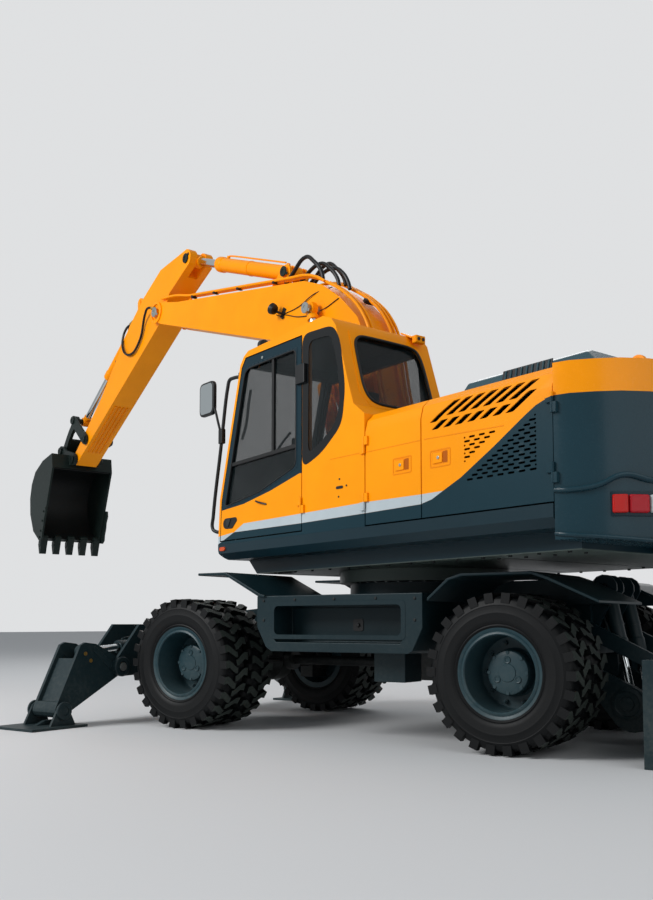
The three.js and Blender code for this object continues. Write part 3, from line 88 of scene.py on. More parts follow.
SWING = math.radians(-17.0)
CHASSIS_ORIGIN = Vector(
    (
        (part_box("left_rear_tyres")[0].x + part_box("left_rear_tyres")[1].x) / 2 + 1.25,
        (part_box("left_rear_tyres")[1].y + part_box("right_rear_tyres")[0].y) / 2,
        0.0,
    )
)
BOOM_Y = -0.06
BOOM_LENGTH = 5.226
ARM_LENGTH = 2.906
CHASSIS = Matrix.Translation(CHASSIS_ORIGIN)
UPPER = CHASSIS @ Matrix.Rotation(SWING, 4, "Z")
BOOM = UPPER @ at(0.1, BOOM_Y, 1.95) @ spun(-31.3, "Y")
ARM = BOOM @ at(BOOM_LENGTH, 0, 0) @ spun(61.9, "Y")
BUCKET = ARM @ at(ARM_LENGTH, 0, 0) @ spun(-30.6, "Y")
MIRRORED = Matrix.Scale(-1, 4, (0, 1, 0))
SIDES = (("left", 1), ("right", -1))
HANDS = (("left", Matrix.Identity(4)), ("right", MIRRORED))


def on_side(base: Matrix, sign: int) -> Matrix:
    """A frame as it stands on the left, or mirrored for the right-hand side."""
    return base if sign > 0 else base @ MIRRORED


# ---------------------------------------------------------------- mesh tools
def deselect() -> None:
    """Leave edit mode and clear the selection."""
    if bpy.context.object and bpy.context.object.mode != "OBJECT":
        bpy.ops.object.mode_set(mode="OBJECT")
    bpy.ops.object.select_all(action="DESELECT")


def activate(piece: Piece) -> None:
    """Make one piece the only selected and the active one.

    Args:
        piece: The piece to select.
    """
    deselect()
    piece.select_set(True)
    bpy.context.view_layer.objects.active = piece


def named(name: str) -> Piece:
    """Name the object that an operator has just added.

    Args:
        name: The name for it and its mesh.

    Returns:
        The object.
    """
    piece = bpy.context.object
    piece.name = name
    piece.data.name = name
    return piece


def settle(piece: Piece) -> Piece:
    """Put a piece's place into its mesh, so that its object sits at the origin.

    Args:
        piece: The piece to settle.

    Returns:
        The same piece.
    """
    piece.data.transform(piece.matrix_basis)
    piece.matrix_basis = Matrix.Identity(4)
    return piece


def repaired(piece: Piece) -> Piece:
    """Merge doubled vertices and turn all the faces outwards.

    Args:
        piece: The closed mesh to repair.

    Returns:
        The same piece.
    """
    activate(piece)
    bpy.ops.object.mode_set(mode="EDIT")
    bpy.ops.mesh.select_all(action="SELECT")
    bpy.ops.mesh.remove_doubles(threshold=0.00005)
    bpy.ops.mesh.normals_make_consistent(inside=False)
    bpy.ops.object.mode_set(mode="OBJECT")
    return piece


def prism(name: str, outline: Sequence[Flat], low: float, high: float, plane: Plane = Plane.SIDE) -> Piece:
    """Push an outline out into a closed solid.

    Args:
        name: The piece's name.
        outline: The corner points in the plane, in order.
        low: Where the outline starts along the third axis.
        high: Where it ends.
        plane: The plane it is drawn in.

    Returns:
        The new object.
    """
    deselect()
    bpy.ops.mesh.primitive_circle_add(vertices=len(outline), radius=1.0, fill_type="NGON")
    piece = named(name)
    for vertex, (a, b) in zip(piece.data.vertices, outline):
        vertex.co = {Plane.SIDE: (a, low, b), Plane.CROSS: (low, a, b), Plane.PLAN: (a, b, low)}[plane]
    push = {Plane.SIDE: (0, 1, 0), Plane.CROSS: (1, 0, 0), Plane.PLAN: (0, 0, 1)}[plane]
    bpy.ops.object.mode_set(mode="EDIT")
    bpy.ops.mesh.select_all(action="SELECT")
    shift = tuple(c * (high - low) for c in push)
    bpy.ops.mesh.extrude_region_move(TRANSFORM_OT_translate={"value": shift})
    bpy.ops.object.mode_set(mode="OBJECT")
    return repaired(piece)


def block(name: str, low: Point, high: Point) -> Piece:
    """Add a block between two corners, ready to be shaped further."""
    outline = [(low[0], low[2]), (high[0], low[2]), (high[0], high[2]), (low[0], high[2])]
    return prism(name, outline, low[1], high[1])


def turned(name: str, profile: Sequence[Flat], steps: int = 64) -> Piece:
    """Spin a profile about the Y axis.

    Args:
        name: The piece's name.
        profile: Closed points of (radius, y).
        steps: Faces in one turn.

    Returns:
        The new object.
    """
    deselect()
    bpy.ops.mesh.primitive_circle_add(vertices=len(profile), radius=1.0, fill_type="NOTHING")
    piece = named(name)
    for vertex, (radius, y) in zip(piece.data.vertices, profile):
        vertex.co = (radius, y, 0)
    bpy.ops.object.mode_set(mode="EDIT")
    bpy.ops.mesh.select_all(action="SELECT")
    bpy.ops.mesh.spin(steps=steps, angle=math.tau, center=(0, 0, 0), axis=(0, 1, 0))
    bpy.ops.object.mode_set(mode="OBJECT")
    return repaired(piece)


def bar(name: str, start: Point, end: Point, radius: float, sides: int = 32, chamfer: float = 0.0) -> Piece:
    """Add a round bar with its end edges broken.

    Args:
        name: The piece's name.
        start: The middle of one end.
        end: The middle of the other.
        radius: Half its thickness.
        sides: Faces round it.
        chamfer: The rounding of its end edges.

    Returns:
        The new object.
    """
    deselect()
    a, b = Vector(start), Vector(end)
    bpy.ops.mesh.primitive_cylinder_add(vertices=sides, radius=radius, depth=(b - a).length)
    piece = named(name)
    turn = (b - a).to_track_quat("Z", "Y").to_matrix().to_4x4()
    piece.data.transform(Matrix.Translation((a + b) / 2) @ turn)
    return rounded(piece, chamfer, 2) if chamfer else piece


def rounded(piece: Piece, width: float, segments: int = 3, angle: float = 30.0) -> Piece:
    """Round the sharp edges of a piece.

    Args:
        piece: The piece to round.
        width: How far the rounding reaches.
        segments: Steps in each rounding.
        angle: Only edges sharper than this are rounded.

    Returns:
        The same piece.
    """
    activate(piece)
    modifier = piece.modifiers.new("edges", "BEVEL")
    modifier.width = width
    modifier.segments = segments
    modifier.limit_method = "ANGLE"
    modifier.angle_limit = math.radians(angle)
    modifier.harden_normals = False
    bpy.ops.object.modifier_apply(modifier=modifier.name)
    return piece


def cut(piece: Piece, cutter: Piece) -> Piece:
    """Cut one piece with another.

    Args:
        piece: The piece to cut.
        cutter: The closed solid taken away from it, which is used up.

    Returns:
        The same piece, cut.
    """
    activate(piece)
    modifier = piece.modifiers.new("opening", "BOOLEAN")
    modifier.operation = "DIFFERENCE"
    modifier.solver = "EXACT"
    modifier.object = cutter
    bpy.ops.object.modifier_apply(modifier=modifier.name)
    bpy.data.objects.remove(cutter)
    return piece


def joined(name: str, pieces: Sequence[Piece]) -> Piece:
    """Join pieces into one object.

    Args:
        name: The name of the result.
        pieces: The pieces, of which the first takes in the others.

    Returns:
        The joined object.
    """
    deselect()
    for piece in pieces:
        piece.select_set(True)
    bpy.context.view_layer.objects.active = pieces[0]
    if len(pieces) > 1:
        bpy.ops.object.join()
    return named(name)


def copied(piece: Piece, place: Matrix, name: str = "copy") -> Piece:
    """Copy a piece with its own mesh, turning its faces back where the place mirrors it.

    Args:
        piece: The piece to copy.
        place: Where the copy goes.
        name: The copy's name.

    Returns:
        The copy.
    """
    twin = piece.copy()
    twin.data = piece.data.copy()
    bpy.context.scene.collection.objects.link(twin)
    twin.name = name
    twin.data.transform(place)
    if place.determinant() < 0:
        twin.data.flip_normals()
    return twin


def repeated(name: str, piece: Piece, places: Sequence[Matrix]) -> Piece:
    """Copy a piece to each place and join the copies.

    Args:
        name: The name of the result.
        piece: The piece to copy, which is used up.
        places: Where the copies go.

    Returns:
        The joined copies.
    """
    copies = [copied(piece, place) for place in places]
    bpy.data.objects.remove(piece)
    return joined(name, copies)


def hose(name: str, points: Sequence[Point], radius: float, sides: int = 3) -> Piece:
    """Lay a smooth round hose or pipe through points.

    Args:
        name: The piece's name.
        points: The points it runs through.
        radius: Half its thickness.
        sides: The bevel resolution, which sets how round it is.

    Returns:
        The hose as a closed mesh.
    """
    curve = bpy.data.curves.new(name, "CURVE")
    curve.dimensions = "3D"
    curve.bevel_depth = radius
    curve.bevel_resolution = sides
    curve.resolution_u = 8
    curve.use_fill_caps = True
    spline = curve.splines.new("BEZIER")
    spline.bezier_points.add(len(points) - 1)
    for knot, point in zip(spline.bezier_points, points):
        knot.co = point
        knot.handle_left_type = knot.handle_right_type = "AUTO"
    piece = bpy.data.objects.new(name, curve)
    bpy.context.scene.collection.objects.link(piece)
    activate(piece)
    bpy.ops.object.convert(target="MESH")
    return repaired(named(name))


def arc(cx: float, cy: float, radius: float, start: float, end: float, steps: int = 8) -> list[Flat]:
    """Points on an arc, with its angles in degrees."""
    angles = [math.radians(start + (end - start) * i / steps) for i in range(steps + 1)]
    return [(cx + radius * math.cos(t), cy + radius * math.sin(t)) for t in angles]


def pill(cx: float, cy: float, half: float, radius: float, turn: float = 0.0, steps: int = 6) -> list[Flat]:
    """Draw a slot with round ends.

    Args:
        cx: The middle's first coordinate.
        cy: The middle's second coordinate.
        half: From the middle to the centre of an end.
        radius: The radius of the ends.
        turn: The slot's angle in degrees.
        steps: Steps in each end.

    Returns:
        The outline.
    """
    c, s = math.cos(math.radians(turn)), math.sin(math.radians(turn))
    ends = arc(half, 0, radius, -90, 90, steps) + arc(-half, 0, radius, 90, 270, steps)
    return [(cx + a * c - b * s, cy + a * s + b * c) for a, b in ends]


def rounded_box(x0: float, x1: float, y0: float, y1: float, radius: float, steps: int = 4) -> list[Flat]:
    """Draw a rectangle with round corners.

    Args:
        x0: Its first side across.
        x1: Its last side across.
        y0: Its lower side.
        y1: Its upper side.
        radius: The radius of the corners.
        steps: Steps in each corner.

    Returns:
        The outline.
    """
    corners = (
        (x1 - radius, y1 - radius, 0), (x0 + radius, y1 - radius, 90), (x0 + radius, y0 + radius, 180),
        (x1 - radius, y0 + radius, 270),
    )
    return [p for cx, cy, a in corners for p in arc(cx, cy, radius, a, a + 90, steps)]


def soft(outline: Sequence[Flat], reach: float, steps: int = 5) -> list[Flat]:
    """Round every corner of an outline.

    Args:
        outline: The corner points in order.
        reach: How far before and after a corner its rounding may start.
        steps: Points in each rounding, less one.

    Returns:
        The rounded outline.
    """
    points = []
    for before, corner, after in zip([outline[-1], *outline[:-1]], outline, [*outline[1:], outline[0]]):
        corner_point = Vector(corner)
        ends = []
        for other in (before, after):
            side = Vector(other) - corner_point
            ends.append(corner_point + side.normalized() * min(reach, side.length * 0.46))
        for i in range(steps + 1):
            u = i / steps
            point = ends[0] * (1 - u) ** 2 + corner_point * 2 * u * (1 - u) + ends[1] * u**2
            points.append((point.x, point.y))
    return points


def grown(outline: Sequence[Flat], by: float) -> list[Flat]:
    """Move each point of a convex outline away from its middle."""
    middle = sum((Vector(p) for p in outline), Vector((0, 0))) / len(outline)
    return [tuple(Vector(p) + (Vector(p) - middle).normalized() * by) for p in outline]


def ring(
    name: str, outer: Sequence[Flat], inner: Sequence[Flat], low: float, high: float, plane: Plane = Plane.SIDE
) -> Piece:
    """A flat ring between two outlines."""
    return cut(prism(name, outer, low, high, plane), prism("inner", inner, low - 0.05, high + 0.05, plane))


def smooth(piece: Piece, angle: float = 35.0) -> Piece:
    """Shade a piece smooth.

    Args:
        piece: The piece to shade.
        angle: Edges sharper than this stay sharp.

    Returns:
        The same piece.
    """
    activate(piece)
    bpy.ops.object.shade_smooth_by_angle(angle=math.radians(angle))
    modifier = piece.modifiers.new("flats", "WEIGHTED_NORMAL")
    modifier.keep_sharp = True
    bpy.ops.object.modifier_apply(modifier=modifier.name)
    return piece


# ---------------------------------------------------------------- shader tools
class Sheet:
    """A node tree being filled, with short calls for the nodes that repeat."""

    def __init__(self, tree: Tree) -> None:
        """Take the tree that the nodes go in."""
        self.tree = tree

    def node(self, kind: str, **settings: object) -> bpy.types.Node:
        """Add a node and set its properties."""
        made = self.tree.nodes.new(kind)
        for key, value in settings.items():
            setattr(made, key, value)
        return made

    def feed(self, socket: Socket, value: object) -> None:
        """Link a socket, or set a constant, into an input.

        Args:
            socket: The input.
            value: A socket or a constant.
        """
        if isinstance(value, Socket):
            self.tree.links.new(value, socket)
        else:
            socket.default_value = value

    def math(self, operation: str, *values: object, clamp: bool = False) -> Socket:
        """Add a math node.

        Args:
            operation: What it does.
            *values: Its inputs, as numbers or sockets.
            clamp: Whether its result is kept from 0 to 1.

        Returns:
            Its result.
        """
        made = self.node("ShaderNodeMath", operation=operation, use_clamp=clamp)
        for socket, value in zip(made.inputs, values):
            self.feed(socket, value)
        return made.outputs[0]

    def mix(self, factor: object, a: object, b: object) -> Socket:
        """Mix two colours.

        Args:
            factor: The share of the second.
            a: The first colour.
            b: The second colour.

        Returns:
            The mixed colour.
        """
        made = self.node("ShaderNodeMix", data_type="RGBA")
        for index, value in ((0, factor), (6, a), (7, b)):
            self.feed(made.inputs[index], value)
        return made.outputs[2]

    def ramp(self, value: object, low: float, high: float, out_low: float = 0.0, out_high: float = 1.0) -> Socket:
        """Add a smooth step of a value between two limits.

        Args:
            value: What is stepped.
            low: Where the step starts.
            high: Where it ends.
            out_low: The result below it.
            out_high: The result above it.

        Returns:
            The step.
        """
        made = self.node("ShaderNodeMapRange", interpolation_type="SMOOTHSTEP")
        for index, entry in enumerate((value, low, high, out_low, out_high)):
            self.feed(made.inputs[index], entry)
        return made.outputs[0]

    def noise(self, vector: object, scale: float, detail: float = 3.0, roughness: float = 0.55) -> Socket:
        """Add a noise about 0.5.

        Args:
            vector: Where it is read.
            scale: How fine it is.
            detail: How many finer layers it has.
            roughness: How strong they are.

        Returns:
            The noise.
        """
        made = self.node("ShaderNodeTexNoise")
        self.feed(made.inputs["Vector"], vector)
        for key, value in (("Scale", scale), ("Detail", detail), ("Roughness", roughness)):
            self.feed(made.inputs[key], value)
        return made.outputs["Fac"]

    def line(self, x: object, knots: Sequence[Flat]) -> Socket:
        """Add a height that follows straight stretches between knots.

        Args:
            x: The place along the line.
            knots: Points of (x, height).

        Returns:
            The height.
        """
        ordered = sorted(knots)
        total: object = ordered[0][1]
        slope = 0.0
        for (x0, z0), (x1, z1) in zip(ordered, ordered[1:]):
            change = (z1 - z0) / (x1 - x0) - slope
            slope += change
            past = self.math("MAXIMUM", self.math("SUBTRACT", x, x0), 0.0)
            total = self.math("MULTIPLY_ADD", past, change, total)
        return total


def group(
    name: str, inputs: Sequence[tuple[str, str]], outputs: Sequence[tuple[str, str]]
) -> tuple[Tree, Sheet, bpy.types.Node, bpy.types.Node]:
    """Start a shader node group with named inputs and outputs.

    Args:
        name: The group's name.
        inputs: Socket names and kinds (Float, Color or Vector) on the way in.
        outputs: The same on the way out.

    Returns:
        The tree, its sheet, and its input and output nodes.
    """
    tree = bpy.data.node_groups.new(name, "ShaderNodeTree")
    for direction, sockets in (("INPUT", inputs), ("OUTPUT", outputs)):
        for label, kind in sockets:
            tree.interface.new_socket(name=label, in_out=direction, socket_type=f"NodeSocket{kind}")
    sheet = Sheet(tree)
    return tree, sheet, sheet.node("NodeGroupInput"), sheet.node("NodeGroupOutput")


def started(name: str) -> tuple[bpy.types.Material, Sheet, bpy.types.Node]:
    """Start a material with nodes.

    Args:
        name: The material's name.

    Returns:
        The material, its sheet and its Principled shader.
    """
    material = bpy.data.materials.new(name)
    material.use_nodes = True
    return material, Sheet(material.node_tree), material.node_tree.nodes["Principled BSDF"]


def make_weathering() -> Tree:
    """Build the group that varies a coat of paint and lays road dust on its lower parts.

    Returns:
        The node group.
    """
    tree, s, inside, out = group(
        "weathering",
        [
            ("Color", "Color"), ("Dust Color", "Color"), ("Dust Top", "Float"), ("Dust", "Float"),
            ("Roughness", "Float"), ("Variation", "Float"), ("Grain", "Float"),
        ],
        [("Color", "Color"), ("Roughness", "Float"), ("Height", "Float")],
    )
    place = s.node("ShaderNodeTexCoord").outputs["Object"]
    height = s.node("ShaderNodeSeparateXYZ")
    s.feed(height.inputs[0], place)
    cloud = s.noise(place, 1.7, 5.0, 0.6)
    speckle = s.noise(place, 38.0, 4.0, 0.7)
    grain = s.noise(place, 240.0, 2.0, 0.5)
    shade = s.ramp(cloud, 0.25, 0.75, -1.0, 1.0)
    value = s.math("MULTIPLY_ADD", s.math("MULTIPLY", shade, inside.outputs["Variation"]), 0.12, 1.0)
    tint = s.node("ShaderNodeHueSaturation")
    s.feed(tint.inputs["Value"], value)
    s.feed(tint.inputs["Color"], inside.outputs["Color"])
    low = s.ramp(height.outputs[2], 0.0, 1.0, 1.0, 0.0)
    depth = s.math("DIVIDE", height.outputs[2], inside.outputs["Dust Top"])
    fade = s.ramp(depth, 0.0, 1.0, 1.0, 0.0)
    patch = s.ramp(s.math("MULTIPLY_ADD", speckle, 0.5, s.math("MULTIPLY", cloud, 0.5)), 0.42, 0.66)
    reach = s.math("MULTIPLY", s.math("MULTIPLY_ADD", low, 0.35, fade), s.math("MULTIPLY_ADD", patch, 0.75, 0.25))
    mask = s.math("MULTIPLY", reach, inside.outputs["Dust"], clamp=True)
    s.feed(out.inputs["Color"], s.mix(mask, tint.outputs[0], inside.outputs["Dust Color"]))
    rough = s.math("MULTIPLY_ADD", s.math("SUBTRACT", speckle, 0.5), 0.18, inside.outputs["Roughness"])
    s.feed(out.inputs["Roughness"], s.math("MULTIPLY_ADD", mask, 0.35, rough, clamp=True))
    raised = s.math("MULTIPLY", grain, inside.outputs["Grain"])
    s.feed(out.inputs["Height"], s.math("MULTIPLY_ADD", raised, 1.0, s.math("MULTIPLY", mask, 0.4)))
    return tree


STRIPE_FOOT = (
    (1.19, 1.545), (0.975, 1.618), (0.044, 1.615), (-0.731, 1.621), (-1.296, 1.628), (-1.403, 1.65),
    (-1.491, 1.688), (-1.661, 1.76), (-1.935, 1.913), (-2.176, 2.058), (-2.26, 2.104), (-2.32, 2.123),
    (-2.39, 2.132), (-2.8, 2.138),
)
STRIPE_TOP = (
    (1.19, 1.6), (0.975, 1.618), (0.828, 1.68), (0.044, 1.688), (-0.731, 1.698), (-1.296, 1.692), (-1.509, 1.693),
    (-1.54, 1.6),
)
DOOR_SILL = ((1.194, 1.815), (0.829, 1.842), (0.435, 1.909), (0.045, 1.999))


def make_livery() -> Tree:
    """Build the group that says where the sides are slate, striped, or framed round the door glass.

    Returns:
        The node group.
    """
    tree, s, _, out = group("livery", [], [("Slate", "Float"), ("Stripe", "Float"), ("Door Frame", "Float")])
    place = s.node("ShaderNodeTexCoord").outputs["Object"]
    shift = s.node("ShaderNodeVectorMath", operation="SUBTRACT")
    s.feed(shift.inputs[0], place)
    s.feed(shift.inputs[1], tuple(CHASSIS_ORIGIN))
    turn = s.node("ShaderNodeVectorRotate", rotation_type="Z_AXIS")
    s.feed(turn.inputs["Vector"], shift.outputs[0])
    s.feed(turn.inputs["Angle"], -SWING)
    axes = s.node("ShaderNodeSeparateXYZ")
    s.feed(axes.inputs[0], turn.outputs[0])
    x, z = axes.outputs[0], axes.outputs[2]
    over = {
        "foot": s.math("SUBTRACT", z, s.line(x, STRIPE_FOOT)),
        "top": s.math("SUBTRACT", z, s.line(x, STRIPE_TOP)),
        "sill": s.math("SUBTRACT", z, s.line(x, DOOR_SILL)),
    }
    above_foot = s.ramp(over["foot"], -0.001, 0.001)
    s.feed(out.inputs["Slate"], s.math("SUBTRACT", 1.0, above_foot))
    s.feed(out.inputs["Stripe"], s.math("MULTIPLY", above_foot, s.ramp(over["top"], -0.001, 0.001, 1.0, 0.0)))
    s.feed(out.inputs["Door Frame"], s.ramp(over["sill"], -0.001, 0.001))
    return tree


def rgb(text: str) -> Color:
    """Turn a display colour into linear light.

    Args:
        text: Six hexadecimal digits.

    Returns:
        The colour with full opacity.
    """
    parts = [int(text[i : i + 2], 16) / 255 for i in (0, 2, 4)]
    linear = [c / 12.92 if c <= 0.04045 else ((c + 0.055) / 1.055) ** 2.4 for c in parts]
    return (*linear, 1.0)


ORANGE = rgb("fd9a00")
SLATE = rgb("12303a")
STRIPE = rgb("b4bfc4")
DUST = rgb("7f8078")


class Pattern(Enum):
    """Where a coat's second colours go."""

    PLAIN = "plain"
    SIDE = "side"
    CAB_DOOR = "cab door"
    TAIL = "tail"
    BELLY = "belly"


@dataclass(frozen=True)
class Finish:
    """A weathered coat: paint, steel, rubber or plastic.

    Attributes give its colour, gloss and dirt, and which pattern its second colours follow.
    """

    name: str
    color: Color
    roughness: float = 0.35
    metallic: float = 0.0
    coat: float = 0.0
    gloss: float = 0.35
    dust: float = 0.15
    dust_top: float = 1.6
    variation: float = 0.5
    grain: float = 0.15
    bump: float = 0.0006
    pattern: Pattern = Pattern.PLAIN

    def make(self, groups: dict[str, Tree]) -> bpy.types.Material:
        """Build the material.

        Args:
            groups: The shared node groups by name.

        Returns:
            The material, ready to assign.
        """
        material, s, shader = started(self.name)
        weather = s.node("ShaderNodeGroup", node_tree=groups["weathering"])
        s.feed(weather.inputs["Color"], self._color(s, groups))
        values = {
            "Dust Color": DUST, "Dust Top": self.dust_top, "Dust": self.dust, "Roughness": self.roughness,
            "Variation": self.variation, "Grain": self.grain,
        }
        for key, value in values.items():
            s.feed(weather.inputs[key], value)
        s.feed(shader.inputs["Base Color"], weather.outputs["Color"])
        s.feed(shader.inputs["Roughness"], weather.outputs["Roughness"])
        bump = s.node("ShaderNodeBump")
        bump.inputs["Distance"].default_value = self.bump
        bump.inputs["Strength"].default_value = 0.5
        s.feed(bump.inputs["Height"], weather.outputs["Height"])
        s.feed(shader.inputs["Normal"], bump.outputs[0])
        shader.inputs["Metallic"].default_value = self.metallic
        shader.inputs["Specular IOR Level"].default_value = self.gloss
        shader.inputs["Coat Weight"].default_value = self.coat
        shader.inputs["Coat Roughness"].default_value = 0.12
        return material

    def _color(self, s: Sheet, groups: dict[str, Tree]) -> object:
        """The colour or colours before weathering.

        Args:
            s: The material's sheet.
            groups: The shared node groups by name.

        Returns:
            A value or a socket.
        """
        if self.pattern is Pattern.PLAIN:
            return self.color
        if self.pattern in (Pattern.TAIL, Pattern.BELLY):
            place = s.node("ShaderNodeTexCoord").outputs["Object"]
            axes = s.node("ShaderNodeSeparateXYZ")
            s.feed(axes.inputs[0], place)
            if self.pattern is Pattern.TAIL:
                return s.mix(s.ramp(axes.outputs[2], 2.137, 2.139), self.color, ORANGE)
            return s.mix(s.ramp(axes.outputs[2], 1.283, 1.288), rgb("525e5a"), self.color)
        livery = s.node("ShaderNodeGroup", node_tree=groups["livery"])
        body = self.color
        if self.pattern is Pattern.CAB_DOOR:
            body = s.mix(livery.outputs["Door Frame"], body, rgb("112b35"))
        striped = s.mix(livery.outputs["Stripe"], body, STRIPE)
        return s.mix(livery.outputs["Slate"], striped, SLATE)


@dataclass(frozen=True)
class Glass:
    """Smoked or clear glass, with a little film on it."""

    name: str
    color: Color
    alpha: float
    roughness: float = 0.04

    def make(self, groups: dict[str, Tree]) -> bpy.types.Material:
        """Build the material, see-through by alpha so that it exports.

        Args:
            groups: The shared node groups, which it has no use for.

        Returns:
            The material.
        """
        material, s, shader = started(self.name)
        place = s.node("ShaderNodeTexCoord").outputs["Object"]
        film = s.ramp(s.noise(place, 3.0, 5.0, 0.6), 0.35, 0.75)
        filmed = (*(min(1.0, c * 1.25 + 0.01) for c in self.color[:3]), 1.0)
        s.feed(shader.inputs["Base Color"], s.mix(film, self.color, filmed))
        s.feed(shader.inputs["Roughness"], s.math("MULTIPLY_ADD", film, 0.04, self.roughness))
        s.feed(shader.inputs["Alpha"], s.math("MULTIPLY_ADD", film, 0.03, self.alpha))
        shader.inputs["Specular IOR Level"].default_value = 0.35
        return material


@dataclass(frozen=True)
class Lens:
    """A moulded lamp lens with fine ribs."""

    name: str
    color: Color

    def make(self, groups: dict[str, Tree]) -> bpy.types.Material:
        """Build the material.

        Args:
            groups: The shared node groups, which it has no use for.

        Returns:
            The material.
        """
        material, s, shader = started(self.name)
        place = s.node("ShaderNodeTexCoord").outputs["Object"]
        wave = s.node("ShaderNodeTexWave", wave_type="BANDS", bands_direction="Z")
        s.feed(wave.inputs["Vector"], place)
        s.feed(wave.inputs["Scale"], 90.0)
        groove = (*(c * 0.45 for c in self.color[:3]), 1.0)
        s.feed(shader.inputs["Base Color"], s.mix(s.math("MULTIPLY", wave.outputs["Fac"], 0.6), self.color, groove))
        bump = s.node("ShaderNodeBump")
        bump.inputs["Distance"].default_value = 0.001
        s.feed(bump.inputs["Height"], wave.outputs["Fac"])
        s.feed(shader.inputs["Normal"], bump.outputs[0])
        shader.inputs["Roughness"].default_value = 0.18
        shader.inputs["Coat Weight"].default_value = 0.15
        shader.inputs["Specular IOR Level"].default_value = 0.3
        return material


FINISHES: tuple[Finish | Glass | Lens, ...] = (
    Finish("orange_paint", ORANGE, 0.36, gloss=0.14, dust=0.03),
    # A darker orange: painted shade on the latch rims and pans and along the creases; on the rails, pipes and arm
    # ribs it is only a darker tone.
    Finish("darker_orange_and_painted_shade", rgb("ef8a04"), 0.38, gloss=0.14, dust=0.05),
    # A much darker orange for the latch pits: painted shade deep in the recess.
    Finish("orange_painted_shade", rgb("b05802"), 0.45, gloss=0.14, dust=0.03),
    Finish("side_paint", ORANGE, 0.36, gloss=0.14, dust=0.03, pattern=Pattern.SIDE),
    Finish("cab_door_paint", ORANGE, 0.36, gloss=0.14, dust=0.03, pattern=Pattern.CAB_DOOR),
    Finish("tail_paint", rgb("17343e"), 0.26, coat=0.08, gloss=0.2, dust=0.04, pattern=Pattern.TAIL),
    Finish("platform_paint", rgb("122a33"), 0.32, coat=0.03, gloss=0.2, dust=0.06, pattern=Pattern.BELLY),
    Finish("hood_paint", rgb("2c4a53"), 0.28, coat=0.1, gloss=0.25, dust=0.04),
    Finish("slate_paint", rgb("11262c"), 0.38, gloss=0.2, dust=0.12, dust_top=1.2, variation=0.9),
    Finish("slate_gloss", rgb("102832"), 0.28, coat=0.04, gloss=0.2, dust=0.04),
    Finish("rim_paint", rgb("1c373f"), 0.36, gloss=0.25, dust=0.14, dust_top=1.1, variation=0.9),
    Finish("dark_steel", rgb("14191b"), 0.45, 0.2, dust=0.18, dust_top=1.2, variation=1.0, grain=0.4),
    Finish(
        "cast_steel", rgb("16211f"), 0.42, 0.1, gloss=0.22, dust=0.03, dust_top=3.5, variation=1.2, grain=1.0,
        bump=0.0012,
    ),
    Finish("worn_steel", rgb("3b4546"), 0.4, 0.6, dust=0.12, dust_top=3.0, variation=1.2, grain=0.6),
    Finish("bucket_inside", rgb("0e1213"), 0.48, 0.2, dust=0.1, dust_top=4.0, variation=1.6, grain=1.0, bump=0.0015),
    Finish("chrome", rgb("d5dadb"), 0.12, 1.0, dust=0.0, variation=0.1, grain=0.05, bump=0.0001),
    Finish("zinc", rgb("a4aaa8"), 0.34, 0.8, dust=0.05, variation=0.5, grain=0.3),
    Finish("brass", rgb("b8924a"), 0.35, 0.8, dust=0.1, variation=0.5),
    Finish(
        "tyre_rubber", rgb("06080a"), 0.52, gloss=0.2, dust=0.006, dust_top=1.15, variation=0.8, grain=0.8,
        bump=0.001,
    ),
    Finish(
        "tread_rubber", rgb("2a322f"), 0.72, gloss=0.2, dust=0.12, dust_top=1.15, variation=1.6, grain=0.9,
        bump=0.0012,
    ),
    Finish("black_rubber", rgb("0b0d0e"), 0.55, dust=0.05, variation=0.4, grain=0.5),
    Finish("hose_rubber", rgb("0a0b0c"), 0.4, dust=0.03, variation=0.4, grain=0.7),
    Finish("black_plastic", rgb("0f1214"), 0.42, dust=0.04, variation=0.4, grain=0.8),
    Finish("trim_plastic", rgb("22282b"), 0.6, dust=0.0, variation=0.4, grain=1.0),
    Finish("seat_fabric", rgb("1c2024"), 0.88, dust=0.0, variation=0.6, grain=3.0, bump=0.002),
    Finish("mirror_glass", rgb("c8d0d2"), 0.06, 1.0, dust=0.0, variation=0.1, grain=0.0),
    Finish("glass_border", rgb("0b0f11"), 0.22, dust=0.02, variation=0.3, grain=0.1, bump=0.0001),
    Glass("smoked_glass", rgb("10191b"), 0.48),
    Glass("dark_glass", rgb("0d1416"), 0.8),
    Glass("clear_glass", rgb("1a2426"), 0.28),
    Lens("amber_lens", rgb("d2160c")),
    Lens("red_lens", rgb("c2041e")),
    Lens("clear_lens", rgb("cfd8da")),
    Lens("side_lens", rgb("f2591a")),
)


